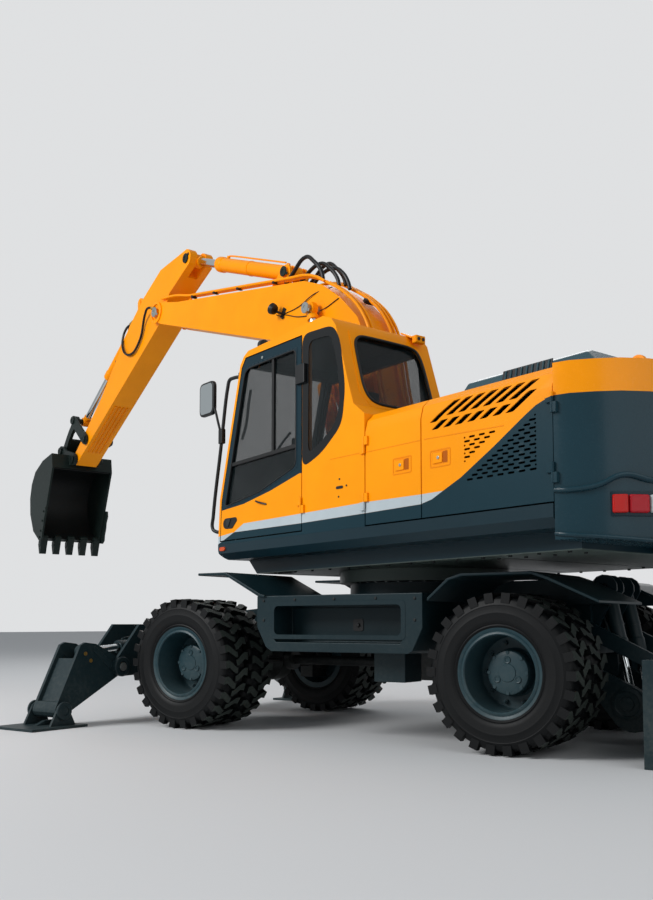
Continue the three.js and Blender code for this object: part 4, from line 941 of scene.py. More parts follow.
class Workshop:
    """Holds the finishes and gives each finished piece its body and finish."""

    def __init__(self) -> None:
        """Build the shared node groups and every finish."""
        groups = {"weathering": make_weathering(), "livery": make_livery()}
        self.finishes = {finish.name: finish.make(groups) for finish in FINISHES}
        self.owner = {node: body for body, nodes in frame["record"]["behaviour"]["bodies"].items() for node in nodes}

    def dress(self, piece: Piece, finish: str) -> None:
        """Give a piece one finish all over.

        Args:
            piece: The piece.
            finish: The finish's name, or nothing to keep what the piece has.
        """
        if not finish:
            return
        piece.data.materials.clear()
        piece.data.materials.append(self.finishes[finish])

    def fit(
        self, piece: Piece, name: str, body: str, finish: str, place: Matrix | None = None, angle: float = 35.0
    ) -> Piece:
        """Finish a piece and let it ride on its body.

        Args:
            piece: The modelled object.
            name: Its final name.
            body: The body it moves with.
            finish: The finish's name.
            place: Where its own frame lies in the row frame.
            angle: Edges flatter than this are shaded smooth.

        Returns:
            The finished piece.
        """
        if place is not None:
            piece.data.transform(place)
            if place.determinant() < 0:
                piece.data.flip_normals()
        piece.name = piece.data.name = name
        self.dress(piece, finish)
        smooth(piece, angle)
        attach(piece, body)
        LOG.info("%s on %s: %d faces", name, body, len(piece.data.polygons))
        return piece

    def refine(
        self, node: str, finish: str, width: float = 0.008, segments: int = 2, cutters: Sequence[Piece] = ()
    ) -> Piece:
        """Make the shown piece of a CAD node: a merged copy with its edges rounded.

        Args:
            node: The CAD node.
            finish: The finish's name.
            width: The rounding of its edges.
            segments: Steps in each rounding.
            cutters: Solids to cut from it in turn, which are used up.

        Returns:
            The piece that stands for the node.
        """
        source = frame["nodes"][node]
        piece = bpy.data.objects.new(f"{node}_shown", source.data.copy())
        bpy.context.scene.collection.objects.link(piece)
        activate(piece)
        bpy.ops.object.mode_set(mode="EDIT")
        bpy.ops.mesh.select_all(action="SELECT")
        bpy.ops.mesh.remove_doubles(threshold=0.0001)
        bpy.ops.mesh.dissolve_limited(angle_limit=math.radians(1.0))
        bpy.ops.object.mode_set(mode="OBJECT")
        for cutter in cutters:
            cut(piece, cutter)
        if width:
            rounded(piece, width, segments, 28)
        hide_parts(node)
        return self.fit(piece, f"{node}_shown", self.owner[node], finish, angle=40)


@dataclass
class Undercarriage:
    """Frame, axles, wheels, fenders, outriggers and blade."""

    shop: Workshop
    axle_z: float = 0.53
    rear_x: float = -1.25
    front_x: float = 1.6
    outer_tyre_y: float = 1.115
    inner_tyre_y: float = 0.795
    tyre_half: float = 0.135
    tread_radius: float = 0.53
    carcass_radius: float = 0.505
    pitches: int = 26
    leg_x: float = 2.585
    nodes: dict[str, tuple[str, float]] = field(
        default_factory=lambda: {
            "chassis_frame": ("slate_paint", 0.01),
            "rear_fenders": ("slate_paint", 0.004),
            "front_axle": ("dark_steel", 0.008),
            "rear_axle_and_drive": ("dark_steel", 0.008),
            "blade": ("slate_paint", 0.008),
            "blade_arms": ("slate_paint", 0.006),
            "blade_links": ("slate_paint", 0.005),
            "left_knuckle": ("dark_steel", 0.006),
            "right_knuckle": ("dark_steel", 0.006),
            "left_step_box": ("slate_paint", 0.012),
            "right_step_box": ("slate_paint", 0.012),
            "left_outrigger_leg": ("slate_paint", 0.006),
            "right_outrigger_leg": ("slate_paint", 0.006),
            "left_outrigger_pad": ("slate_paint", 0.005),
            "right_outrigger_pad": ("slate_paint", 0.005),
        }
    )

    def build(self) -> None:
        """Make every piece of the undercarriage."""
        for node, (finish, width) in self.nodes.items():
            self.shop.refine(node, finish, width, cutters=self.leg_recess(node))
        self.wheels()
        self.step_boxes()
        self.outriggers()
        self.blade_gear()
        self.underside()

    def leg_recess(self, node: str) -> list[Piece]:
        """The solid that sinks an outrigger leg's outer plate between its side plates.

        Args:
            node: The CAD node.

        Returns:
            The solid, or nothing for other nodes.
        """
        if not node.endswith("outrigger_leg"):
            return []
        sign = 1 if node.startswith("left") else -1
        outline = [
            (1.36, 0.75), (1.6, 0.75), (1.62, 0.66), (1.812, 0.209), (1.741, 0.21), (1.571, 0.56), (1.5, 0.56),
            (1.48, 0.62), (1.36, 0.66),
        ]
        cutter = prism(
            "recess", [(sign * y, z) for y, z in outline], self.leg_x - 0.117, self.leg_x + 0.117, Plane.CROSS
        )
        cutter.data.transform(CHASSIS)
        return [cutter]

    def tyre(self) -> Piece:
        """Model one tyre about its own axis, with lugs in two staggered rows.

        Returns:
            The tyre.
        """
        w, r = self.tyre_half, self.carcass_radius
        side = [
            (0.275, w - 0.043), (0.288, w - 0.03), (0.3, w - 0.018), (0.312, w - 0.01), (0.32, w - 0.014),
            (0.33, w - 0.006), (0.352, w - 0.0015), (0.385, w), (0.391, w + 0.0025), (0.399, w + 0.0025), (0.405, w),
            (0.44, w - 0.003), (0.446, w - 0.0005), (0.453, w - 0.0035), (0.48, w - 0.01), (0.495, w - 0.022),
        ]
        crown = [(r, w - 0.045), (r + 0.003, 0.0), (r, -w + 0.045)]
        bead = [(0.278, -w + 0.07), (0.276, 0.0), (0.278, w - 0.07)]
        profile = side + crown + [(a, -b) for a, b in reversed(side)] + bead
        carcass = turned("tyre", profile, 96)
        self.shop.dress(carcass, "tyre_rubber")
        foot, top = r - 0.045, self.tread_radius - 0.004
        plan = [
            (-0.031, w - 0.002), (0.03, w - 0.002), (0.034, w - 0.04), (0.014, 0.058), (-0.022, 0.01),
            (-0.028, -0.012), (-0.072, -0.008), (-0.07, 0.018), (-0.046, 0.058), (-0.024, w - 0.044),
        ]
        lug = prism("lug", plan, foot, top, Plane.PLAN)
        activate(lug)
        for face in lug.data.polygons:
            face.select = abs(face.normal.z) > 0.9 and face.center.z > r
        bpy.ops.object.mode_set(mode="EDIT")
        bpy.ops.mesh.inset(thickness=0.006)
        bpy.ops.object.mode_set(mode="OBJECT")
        sunk = [v for v in lug.data.vertices if v.co.z > top - 0.001]
        rim_heights = {
            v.index
            for f in lug.data.polygons
            if f.select
            for v in [lug.data.vertices[i] for i in f.vertices]
        }
        for vertex in sunk:
            if vertex.index not in rim_heights:
                vertex.co.z -= 0.005
        self.shop.dress(lug, "tyre_rubber")
        lug.data.materials.append(self.shop.finishes["tread_rubber"])
        for face in lug.data.polygons:
            face.material_index = 1 if face.normal.z > 0.7 and face.center.z > r else 0
        rise = block("rise", (-0.023, w - 0.056, foot - 0.012), (0.022, w - 0.019, foot + 0.01))
        self.shop.dress(rise, "tyre_rubber")
        lug = joined("lug", [lug, rounded(rise, 0.009, 2)])
        places = []
        for i in range(self.pitches * 2):
            hand = 1 if i % 2 else -1
            around = Matrix.Rotation(math.tau * i / (self.pitches * 2), 4, "Y")
            places.append(around @ Matrix.Scale(hand, 4, (0, 1, 0)))
        lugs = repeated("lugs", lug, places)
        return joined("tyre", [carcass, lugs])

    def wheel(self) -> Piece:
        """Model both rims, the disc, the planetary hub and its fittings.

        Returns:
            The twin wheel.
        """
        outer, inner = self.outer_tyre_y + self.tyre_half, self.inner_tyre_y - self.tyre_half
        disc = (self.outer_tyre_y + self.inner_tyre_y) / 2
        rim = turned(
            "rim",
            [
                (0.19, 0.8), (0.19, disc - 0.02), (0.236, disc - 0.02), (0.251, disc - 0.035),
                (0.251, inner + 0.019), (0.3, inner + 0.019), (0.306, inner + 0.025), (0.3, inner + 0.034),
                (0.276, inner + 0.038), (0.2745, inner + 0.06), (0.2745, outer - 0.06), (0.276, outer - 0.038),
                (0.3, outer - 0.034), (0.306, outer - 0.026), (0.3, outer - 0.019), (0.286, outer - 0.022),
                (0.276, outer - 0.028), (0.27, outer - 0.022), (0.258, outer - 0.019), (0.251, outer - 0.026),
                (0.251, disc + 0.05), (0.24, disc + 0.024), (0.2, disc + 0.02), (0.165, disc + 0.02),
                (0.15, disc + 0.032), (0.146, outer - 0.2), (0.15, outer - 0.195), (0.15, outer - 0.172),
                (0.143, outer - 0.16), (0.12, outer - 0.152), (0.062, outer - 0.15), (0.058, outer - 0.145),
                (0.0, outer - 0.145), (0.0, 0.8),
            ],
            72,
        )
        nut = bar("nut", (0, 0, 0), (0, 0.024, 0), 0.016, 6, 0.002)
        stud = bar("stud", (0, 0.02, 0), (0, 0.036, 0), 0.008, 12, 0.002)
        nut = joined("nut", [nut, stud])
        nuts = repeated("nuts", nut, circle_of(10, (0.205, disc + 0.02, 0)))
        cap = bar("cap", (0, 0, 0), (0, 0.008, 0), 0.013, 8, 0.002)
        caps = repeated("caps", cap, circle_of(8, (0.134, outer - 0.158, 0)))
        plug = turned(
            "plug",
            [(0.0, 0.0), (0.024, 0.0), (0.026, 0.004), (0.022, 0.008), (0.014, 0.006), (0.012, 0.003), (0.0, 0.003)],
            24,
        )
        plugs = repeated("plugs", plug, circle_of(3, (0.085, outer - 0.152, 0), first=0.25))
        return joined("wheel", [rim, nuts, caps, plugs])

    def wheels(self) -> None:
        """Fit the four twin wheels and their tyres."""
        tyre, wheel = self.tyre(), self.wheel()
        pair = repeated(
            "twin", tyre,
            [
                at(0, y, 0) @ Matrix.Rotation(turn, 4, "Y")
                for y, turn in ((self.outer_tyre_y, 0.0), (self.inner_tyre_y, 0.06))
            ],
        )
        for word, sign in SIDES:
            for end, x in (("front", self.front_x), ("rear", self.rear_x)):
                hand = Matrix.Identity(4) if sign > 0 else Matrix.Rotation(math.pi, 4, "Z")
                place = CHASSIS @ at(x, 0, self.axle_z) @ hand
                rubber = copied(pair, Matrix.Identity(4))
                steel = copied(wheel, Matrix.Identity(4))
                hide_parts(f"{word}_{end}_tyres")
                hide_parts(f"{word}_{end}_wheel")
                self.shop.fit(rubber, f"{word}_{end}_treaded_tyres", f"{word}_{end}_wheels", "", place)
                self.shop.fit(steel, f"{word}_{end}_rims", f"{word}_{end}_wheels", "rim_paint", place, 32)
        for spare in (pair, wheel):
            bpy.data.objects.remove(spare)

    def step_boxes(self) -> None:
        """Fit the door in each step recess, its latch, the edge trims and the ribbed fender tops."""
        for word, hand in HANDS:
            place = CHASSIS @ hand
            lid = prism("lid", rounded_box(-0.49, 0.6, 0.735, 0.975, 0.03), 0.975, 0.985)
            self.shop.fit(rounded(lid, 0.003, 2), f"{word}_step_lid", "chassis", "slate_paint", place)
            face = ring(
                "face", rounded_box(-0.545, 0.655, 0.738, 1.022, 0.035),
                rounded_box(-0.508, 0.618, 0.772, 0.988, 0.035), 1.2185, 1.2225,
            )
            self.shop.fit(rounded(face, 0.0015, 1), f"{word}_step_face", "chassis", "slate_paint", place)
            plate = prism("latch_plate", rounded_box(-0.045, 0.045, 0.8, 0.89, 0.018), 0.985, 0.991)
            knob = bar("knob", (0, 0.991, 0.845), (0, 1.004, 0.845), 0.016, 24, 0.003)
            self.shop.fit(joined("latch", [plate, knob]), f"{word}_step_latch", "chassis", "black_plastic", place)
            rib = block("rib", (-0.008, -0.003, 0.0), (0.008, 0.003, 0.0025))
            rib = rounded(rib, 0.0012, 1)
            spots = []
            for i in range(11):
                for j in range(26):
                    turn = spun(45 if (i + j) % 2 else -45, "Z")
                    x, y = 1.125 + 0.024 * i, 0.42 + 0.031 * j
                    spots.append(at(x, y, 1.262) @ turn)
            self.shop.fit(repeated("ribs", rib, spots), f"{word}_fender_tread", "chassis", "slate_paint", place)
            lip = hose("lip", [(1.386, 0.38, 1.252), (1.386, 0.8, 1.252), (1.386, 1.235, 1.252)], 0.011)
            self.shop.fit(lip, f"{word}_fender_lip", "chassis", "slate_paint", place)
            bolt = bar("bolt", (0, 0, 0), (0, 0.008, 0), 0.011, 6, 0.002)
            spots = [
                at(x, 1.219, z)
                for x, z in (
                    (-0.62, 1.03), (-0.62, 0.88), (0.72, 1.03), (0.72, 0.88), (0.06, 1.035), (-0.3, 1.035),
                    (0.42, 1.035),
                )
            ]
            self.shop.fit(repeated("bolts", bolt, spots), f"{word}_step_bolts", "chassis", "dark_steel", place)

    def outriggers(self) -> None:
        """Fit the hinge bosses, pin heads, gussets and hoses of both outriggers."""
        for word, hand in HANDS:
            place = CHASSIS @ hand
            x0, x1 = self.leg_x - 0.185, self.leg_x + 0.185
            boss = [
                turned(
                    "boss",
                    [
                        (0.043, 0.0), (0.082, 0.0), (0.086, 0.004), (0.086, 0.02), (0.08, 0.026), (0.05, 0.026),
                        (0.046, 0.022), (0.043, 0.022),
                    ],
                    40,
                )
                for _ in range(2)
            ]
            boss[0].data.transform(at(x0, 1.13, 0.48) @ spun(90, "Z"))
            boss[1].data.transform(at(x1, 1.13, 0.48) @ spun(-90, "Z"))
            self.shop.fit(joined("bosses", boss), f"{word}_hinge_bosses", "chassis", "slate_paint", place)
            head = [
                bar("head", (x, 1.13, 0.48), (x + d, 1.13, 0.48), 0.036, 24, 0.004)
                for x, d in ((x0 - 0.02, -0.014), (x1 + 0.02, 0.014))
            ]
            self.shop.fit(joined("heads", head), f"{word}_hinge_heads", f"{word}_leg", "zinc", place)
            ends = [
                turned(
                    "end",
                    [(0.041, 0.0), (0.072, 0.0), (0.075, 0.003), (0.075, 0.016), (0.07, 0.02), (0.041, 0.02)], 32,
                )
                for _ in range(2)
            ]
            ends[0].data.transform(at(self.leg_x - 0.177, 1.745, 0.138) @ spun(90, "Z"))
            ends[1].data.transform(at(self.leg_x + 0.177, 1.745, 0.138) @ spun(-90, "Z"))
            self.shop.fit(joined("ends", ends), f"{word}_pad_bosses", f"{word}_pad", "slate_paint", place)
            web = prism(
                "web", [(1.6, 0.045), (1.89, 0.045), (1.8, 0.082), (1.69, 0.082)], self.leg_x - 0.02,
                self.leg_x + 0.02, Plane.CROSS,
            )
            web.data.transform(at(0, 0, -0.024))
            self.shop.fit(rounded(web, 0.003, 1), f"{word}_pad_web", f"{word}_pad", "slate_paint", place)
            ribs = [
                prism(
                    "rib", [(1.17, 0.49), (1.4, 0.665), (1.42, 0.63), (1.22, 0.46)], x - 0.006, x + 0.006,
                    Plane.CROSS,
                )
                for x in (self.leg_x - 0.149, self.leg_x + 0.149)
            ]
            self.shop.fit(
                rounded(joined("ribs", ribs), 0.002, 1), f"{word}_leg_ribs", f"{word}_leg", "slate_paint", place
            )
            dots = [
                bar("dot", (self.leg_x - 0.147, y, z), (self.leg_x - 0.153, y, z), 0.017, 20, 0.002)
                for y, z in ((1.5, 0.6), (1.44, 0.54))
            ]
            self.shop.fit(joined("dots", dots), f"{word}_leg_plugs", f"{word}_leg", "brass", place)
            line = hose(
                "line",
                [
                    (self.leg_x - 0.06, 0.55, 0.79), (self.leg_x - 0.13, 0.42, 0.86), (self.leg_x - 0.16, 0.2, 0.87),
                    (self.leg_x - 0.25, 0.1, 0.88),
                ],
                0.011,
            )
            self.shop.fit(line, f"{word}_leg_hose", "chassis", "hose_rubber", place)
            build_cylinder(
                self.shop, f"{word}_outrigger_cylinder", [(f"{word}_outrigger_rod", 0.0)], f"{word}_leg_barrel",
                f"{word}_leg_rod", place @ at(self.leg_x, 0.35, 0.7) @ spun(90, "Z"), (1.06, -0.087), 0.66, 0.055,
                0.032, "slate_paint", 0.08, 0.12,
            )

    def blade_gear(self) -> None:
        """Fit the blade's cylinders, cutting edge, pivot discs and hoses."""
        place = CHASSIS @ at(-1.62, 0, 1.11)
        build_cylinder(
            self.shop, "blade_cylinders", [("right_blade_rod", -0.19), ("left_blade_rod", 0.19)], "blade_barrels",
            "blade_rod_pair", place, (-0.17, -0.81), 0.475, 0.052, 0.028, "slate_paint", 0.06, 0.15,
        )
        edge = prism("edge", [(-2.305, 0.0), (-2.285, 0.0), (-2.265, 0.13), (-2.285, 0.13)], -1.235, 1.235)
        edge.data.transform(at(0.0, 0, 0.002))
        bolt = bar("bolt", (0, 0, 0), (-0.01, 0, 0), 0.014, 6, 0.002)
        bolts = repeated("bolts", bolt, [at(-2.285, y, 0.09) for y in [i * 0.24 - 1.08 for i in range(10)]])
        self.shop.fit(rounded(edge, 0.003, 1), "blade_cutting_edge", "blade_body", "worn_steel", CHASSIS)
        self.shop.fit(bolts, "blade_edge_bolts", "blade_body", "dark_steel", CHASSIS)
        for word, sign in SIDES:
            disc = turned(
                "disc",
                [
                    (0.0, 0.0), (0.105, 0.0), (0.112, 0.006), (0.112, 0.012), (0.09, 0.018), (0.082, 0.012),
                    (0.05, 0.012), (0.046, 0.024), (0.0, 0.024),
                ],
                40,
            )
            disc.data.transform(at(-1.79, 0.32, 0.3))
            self.shop.fit(disc, f"{word}_blade_disc", "blade_arm_pair", "slate_paint", on_side(CHASSIS, sign))
            pipe = hose(
                "pipe",
                [
                    (-1.66, sign * 0.25, 0.98), (-1.6, sign * 0.3, 1.02), (-1.5, sign * 0.3, 1.08),
                    (-1.38, sign * 0.26, 1.03),
                ],
                0.01,
            )
            self.shop.fit(pipe, f"{word}_blade_hose", "chassis", "hose_rubber", CHASSIS)

    def underside(self) -> None:
        """Fit the track rod, fender webs, brake hoses and bearing bolts."""
        rod = joined(
            "rod",
            [
                bar("rod", (1.44, -0.52, 0.53), (1.44, 0.52, 0.53), 0.022, 20, 0.003),
                *[bar("ball", (1.44, y, 0.5), (1.44, y, 0.56), 0.032, 20, 0.006) for y in (-0.52, 0.52)],
            ],
        )
        self.shop.fit(rod, "track_rod", "chassis", "dark_steel", CHASSIS)
        bolt = bar("bolt", (0, 0, 0), (0, 0, 0.022), 0.015, 6, 0.003)
        spots = circle_of(36, (0.585, 0, 1.18), "Z")
        self.shop.fit(repeated("bolts", bolt, spots), "bearing_bolts", "chassis", "zinc", CHASSIS)
        web = [
            (-1.8, 0.99), (-0.72, 0.99), (-0.728, 1.003), (-0.893, 1.141), (-0.995, 1.168), (-1.48, 1.168),
            (-1.592, 1.127), (-1.8, 1.032),
        ]
        for word, sign in SIDES:
            panel = prism("panel", web, 0.43, 0.438)
            strip = prism("strip", rounded_box(-1.55, -0.9, 1.02, 1.045, 0.008), 0.436, 0.446)
            panel = rounded(joined("panel", [panel, strip]), 0.0015, 1)
            self.shop.fit(panel, f"{word}_fender_web", "chassis", "slate_paint", on_side(CHASSIS, sign))
            points = [(1.35, sign * 0.18, 0.78), (1.42, sign * 0.36, 0.72), (1.52, sign * 0.5, 0.66)]
            self.shop.fit(hose("brake", points, 0.009), f"{word}_brake_hose", "chassis", "hose_rubber", CHASSIS)


def build_cylinder(
    shop: Workshop, barrel_node: str, rods: Sequence[tuple[str, float]], barrel_body: str, rod_body: str,
    place: Matrix, reach: Flat, length: float, radius: float, rod: float, finish: str, eye_width: float,
    inside: float,
) -> None:
    """Model a hydraulic cylinder, or a pair side by side, between a base pin and a rod eye.

    Args:
        shop: Finishes and fits the pieces.
        barrel_node: The CAD node of the barrel or barrels.
        rods: Each rod's CAD node and its offset across.
        barrel_body: The barrel's body.
        rod_body: The rod's body.
        place: A frame at the base pin, whose X and Z hold the cylinder.
        reach: From the base pin to the rod's eye in that frame.
        length: The barrel's length from its base pin.
        radius: The barrel's radius.
        rod: The rod's radius.
        finish: The barrel's finish.
        eye_width: The width of each eye.
        inside: How far the rod goes into the barrel at rest.
    """
    span = math.hypot(*reach)
    along = place @ Matrix.Rotation(-math.atan2(reach[1], reach[0]), 4, "Y")
    half, eye = eye_width / 2, radius * 1.02
    barrels = []
    for node, y in rods:
        foot = turned(
            "foot",
            [
                (eye * 0.58, -half), (eye * 0.94, -half), (eye, -half + 0.004), (eye, half - 0.004),
                (eye * 0.94, half), (eye * 0.58, half),
            ],
            40,
        )
        tube = turned(
            "tube",
            [
                (0.0, eye * 0.72), (radius * 0.9, eye * 0.76), (radius, eye * 0.95), (radius, length - 0.11),
                (radius * 1.06, length - 0.105), (radius * 1.12, length - 0.095), (radius * 1.12, length - 0.012),
                (radius * 1.05, length), (rod * 1.25, length), (rod * 1.2, length - 0.008),
                (rod + 0.001, length - 0.008), (rod + 0.001, eye * 1.25), (0.0, eye * 1.25),
            ],
            48,
        )
        tube.data.transform(spun(-90, "Z"))
        port = joined(
            "port",
            [
                bar(
                    "port", (length * 0.9, 0, radius * 0.9), (length * 0.9, 0, radius * 1.32), radius * 0.26, 20,
                    0.003,
                ),
                bar("port", (eye * 1.9, 0, radius * 0.9), (eye * 1.9, 0, radius * 1.32), radius * 0.26, 20, 0.003),
            ],
        )
        pipe = hose(
            "pipe",
            [
                (length * 0.9, 0, radius * 1.28), (length * 0.87, 0, radius * 1.36),
                (length * 0.5, 0, radius * 1.38), (eye * 2.6, 0, radius * 1.36),
            ],
            radius * 0.12,
        )
        band = turned(
            "band", [(radius, -0.012), (radius * 1.05, -0.012), (radius * 1.05, 0.012), (radius, 0.012)], 40
        )
        band.data.transform(at(length * 0.55, 0, 0) @ spun(-90, "Z"))
        barrel = joined("barrel", [foot, tube, port, pipe, band])
        barrel.data.transform(at(0, y, 0))
        barrels.append(barrel)
        tip = turned(
            "tip",
            [
                (eye * 0.6, -half), (eye * 0.95, -half), (eye, -half + 0.004), (eye, half - 0.004),
                (eye * 0.95, half), (eye * 0.6, half),
            ],
            40,
        )
        tip.data.transform(at(span, 0, 0))
        neck = turned("neck", [(0.0, 0.0), (rod * 1.0, 0.0), (rod * 1.3, 0.02), (rod * 1.3, 0.06), (0.0, 0.06)], 32)
        neck.data.transform(at(span - eye * 0.8, 0, 0) @ spun(90, "Z"))
        bush = turned(
            "bush",
            [
                (eye * 0.45, -half - 0.001), (eye * 0.61, -half - 0.001), (eye * 0.61, half + 0.001),
                (eye * 0.45, half + 0.001),
            ],
            32,
        )
        bush.data.transform(at(span, 0, 0))
        ends = joined("ends", [tip, neck, bush])
        shaft = turned(
            "shaft",
            [(0.0, length - inside), (rod, length - inside), (rod, span - eye * 0.7), (0.0, span - eye * 0.7)], 40,
        )
        shaft.data.transform(spun(-90, "Z"))
        for part in (ends, shaft):
            part.data.transform(at(0, y, 0))
        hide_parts(node)
        shop.fit(shaft, f"{node}_chromed", rod_body, "chrome", along)
        shop.fit(ends, f"{node}_eye", rod_body, finish, along)
    whole = joined("barrels", barrels)
    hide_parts(barrel_node)
    shop.fit(whole, f"{barrel_node}_tubes", barrel_body, finish, along, 32)


@dataclass
class Attachment:
    """Boom, arm, bucket, their linkage, cylinders, pipes and hoses."""

    shop: Workshop
    boom_cylinder_foot: Flat = (0.65, 1.6)
    boom_cylinder_eye: Flat = (1.97, 0.985)
    arm_cylinder_foot: Flat = (2.85, 1.151)
    arm_tail: Flat = (-0.803, 0.103)
    bucket_cylinder_foot: Flat = (0.4, 0.6)
    bucket_cylinder_reach: Flat = (2.252, -0.087)

    def build(self) -> None:
        """Make every piece of the front attachment."""
        self.shop.refine("boom", "orange_paint", 0.01)
        self.shop.refine("arm", "orange_paint", 0.009)
        self.shop.refine("rocker", "cast_steel", 0.006)
        self.shop.refine("bucket_link", "cast_steel", 0.006)
        self.shop.refine("bucket", "cast_steel", 0.006)
        self.cylinders()
        self.pins()
        self.pipes()
        self.lamp()
        self.bucket_fittings()

    def cylinders(self) -> None:
        """Fit the cylinders of the boom, the arm and the bucket, each from its foot pin to its eye."""
        foot, eye = self.boom_cylinder_foot, self.boom_cylinder_eye
        met = UPPER.inverted() @ (BOOM @ Vector((eye[0], 0, eye[1])))
        build_cylinder(
            self.shop, "boom_cylinders", [("right_boom_rod", -0.285), ("left_boom_rod", 0.285)], "boom_barrels",
            "boom_rods", UPPER @ at(foot[0], BOOM_Y, foot[1]), (met.x - foot[0], met.z - foot[1]), 1.5, 0.068, 0.042,
            "orange_paint", 0.064, 0.4,
        )
        foot, eye = self.arm_cylinder_foot, self.arm_tail
        met = BOOM.inverted() @ (ARM @ Vector((eye[0], 0, eye[1])))
        build_cylinder(
            self.shop, "arm_cylinder", [("arm_rod", 0.0)], "arm_barrel", "arm_rod_body",
            BOOM @ at(foot[0], 0, foot[1]), (met.x - foot[0], met.z - foot[1]), 1.56, 0.078, 0.048, "orange_paint",
            0.1, 1.14,
        )
        foot = self.bucket_cylinder_foot
        build_cylinder(
            self.shop, "bucket_cylinder", [("bucket_rod", 0.0)], "bucket_barrel", "bucket_rod_body",
            ARM @ at(foot[0], 0, foot[1]), self.bucket_cylinder_reach, 1.35, 0.062, 0.04, "orange_paint", 0.09, 0.5,
        )

    def pins(self) -> None:
        """Fit the pin heads with their keeper plates, and the bosses round them."""
        spots = [
            ("boom_tip", "boom_body", BOOM, (BOOM_LENGTH, 0.0), 0.226, 0.058),
            ("boom_eye", "boom_body", BOOM, self.boom_cylinder_eye, 0.352, 0.05),
            ("arm_tail", "arm_body", ARM, self.arm_tail, 0.156, 0.055),
            ("arm_foot", "bucket_body", ARM, (ARM_LENGTH, 0.0), 0.215, 0.055),
            ("rocker_pin", "rocker_body", ARM, (2.468, 0.02), 0.206, 0.05),
            ("link_pin", "bucket_body", ARM, (3.188, 0.373), 0.215, 0.05),
            ("rocker_top", "rocker_body", ARM, (2.652, 0.513), 0.196, 0.05),
            ("arm_cylinder_pin", "boom_body", BOOM, self.arm_cylinder_foot, 0.136, 0.05),
        ]
        for name, body, place, (x, z), out, radius in spots:
            heads = []
            for sign in (1, -1):
                head = turned(
                    "head",
                    [
                        (0.0, 0.0), (radius, 0.0), (radius + 0.003, 0.003), (radius + 0.003, 0.012), (radius, 0.015),
                        (radius * 0.45, 0.015), (radius * 0.42, 0.01), (0.0, 0.01),
                    ],
                    32,
                )
                keeper = block("keeper", (-radius * 1.5, 0.0, -0.014), (-radius * 0.5, 0.01, 0.014))
                part = joined("head", [head, rounded(keeper, 0.002, 1)])
                part.data.transform(at(x, sign * out, z) @ Matrix.Rotation(0 if sign > 0 else math.pi, 4, "Z"))
                heads.append(part)
            if name == "rocker_top":
                heads.append(bar("cross", (x, -0.2, z), (x, 0.2, z), 0.038, 24))
            self.shop.fit(
                joined("heads", heads), f"{name}_heads", body, "zinc" if "boom" in name else "cast_steel", place
            )
        collar = [
            turned(
                "ring", [(0.1, 0.0), (0.128, 0.0), (0.132, 0.004), (0.132, 0.014), (0.126, 0.018), (0.1, 0.018)],
                48,
            )
            for _ in range(2)
        ]
        collar[0].data.transform(at(BOOM_LENGTH, 0.2, 0))
        collar[1].data.transform(at(BOOM_LENGTH, -0.2, 0) @ Matrix.Rotation(math.pi, 4, "Z"))
        self.shop.fit(joined("rings", collar), "boom_tip_rings", "boom_body", "orange_paint", BOOM)
        x, z = self.boom_cylinder_eye
        stub = bar("stub", (x, -0.345, z), (x, 0.345, z), 0.038, 32)
        self.shop.fit(stub, "boom_eye_pin", "boom_body", "zinc", BOOM)

    def pipes(self) -> None:
        """Lay the steel pipes and hoses along the boom and the arm, with their clamps."""
        for i, (y, lift) in enumerate(((-0.182, 0.062), (-0.142, 0.05), (0.142, 0.05), (0.182, 0.062))):
            points = [
                (5.22, y, 0.15 + lift * 0.5), (4.9, y, 0.25 + lift), (4.55, y, 0.352 + lift),
                (4.4, y, 0.408 + lift), (3.6, y, 0.708 + lift), (2.62, y, 1.075 + lift), (2.4, y, 1.16 + lift),
                (2.2, y, 1.198 + lift), (2.05, y, 1.222 + lift * 0.6),
            ]
            if abs(y) < 0.15:
                points = [(4.6, y, 0.325), (4.56, y, 0.352 + lift * 0.9)] + points[3:]
            self.shop.fit(hose("pipe", points, 0.014), f"boom_pipe_{i + 1}", "boom_body", "orange_paint", BOOM)
        for i, y in enumerate((-0.18, -0.135, -0.09, 0.135, 0.18)):
            points = [
                (2.02, y, 1.262), (1.7, y, 1.25), (1.37, y, 1.172), (1.11, y, 1.01), (0.7, y, 0.595),
                (0.36, y, 0.33), (0.1, y, 0.17),
            ]
            self.shop.fit(hose("pipe", points, 0.014), f"boom_bend_pipe_{i + 1}", "boom_body", "orange_paint", BOOM)
        clamp = rounded(block("clamp", (-0.022, -0.032, -0.018), (0.022, 0.032, 0.022)), 0.004, 1)
        spots = []
        for x, z in ((4.48, 0.418), (4.02, 0.598), (3.55, 0.775), (2.9, 1.018)):
            spots += [at(x, y, z) @ spun(20.5, "Y") for y in (-0.162, 0.162)]
        spots += [
            at(x, -0.105, z) @ Matrix.Scale(2.0, 4, (0, 1, 0)) @ spun(a, "Y")
            for x, z, a in ((1.66, 1.225, -15), (1.12, 0.975, -42))
        ]
        self.shop.fit(repeated("clamps", clamp, spots), "boom_clamps", "boom_body", "black_plastic", BOOM)
        loops = []
        for y, start, peak, end in (
            (0.13, 2.76, 2.54, 2.16), (0.07, 2.6, 2.34, 1.96), (-0.02, 2.5, 2.24, 1.9), (-0.12, 2.74, 2.5, 2.12)
        ):
            z = 1.152 - (start - 2.36) * 0.375
            loops.append(
                hose(
                    "loop",
                    [
                        (start, y, z + 0.05), (start - 0.06, y, z + 0.15), (peak, y + 0.01, 1.375),
                        (peak - 0.16, y + 0.01, 1.372), (end + 0.06, y, 1.315), (end, y, 1.265),
                    ],
                    0.02,
                )
            )
        self.shop.fit(joined("loops", loops), "boom_hose_loops", "boom_body", "hose_rubber", BOOM)
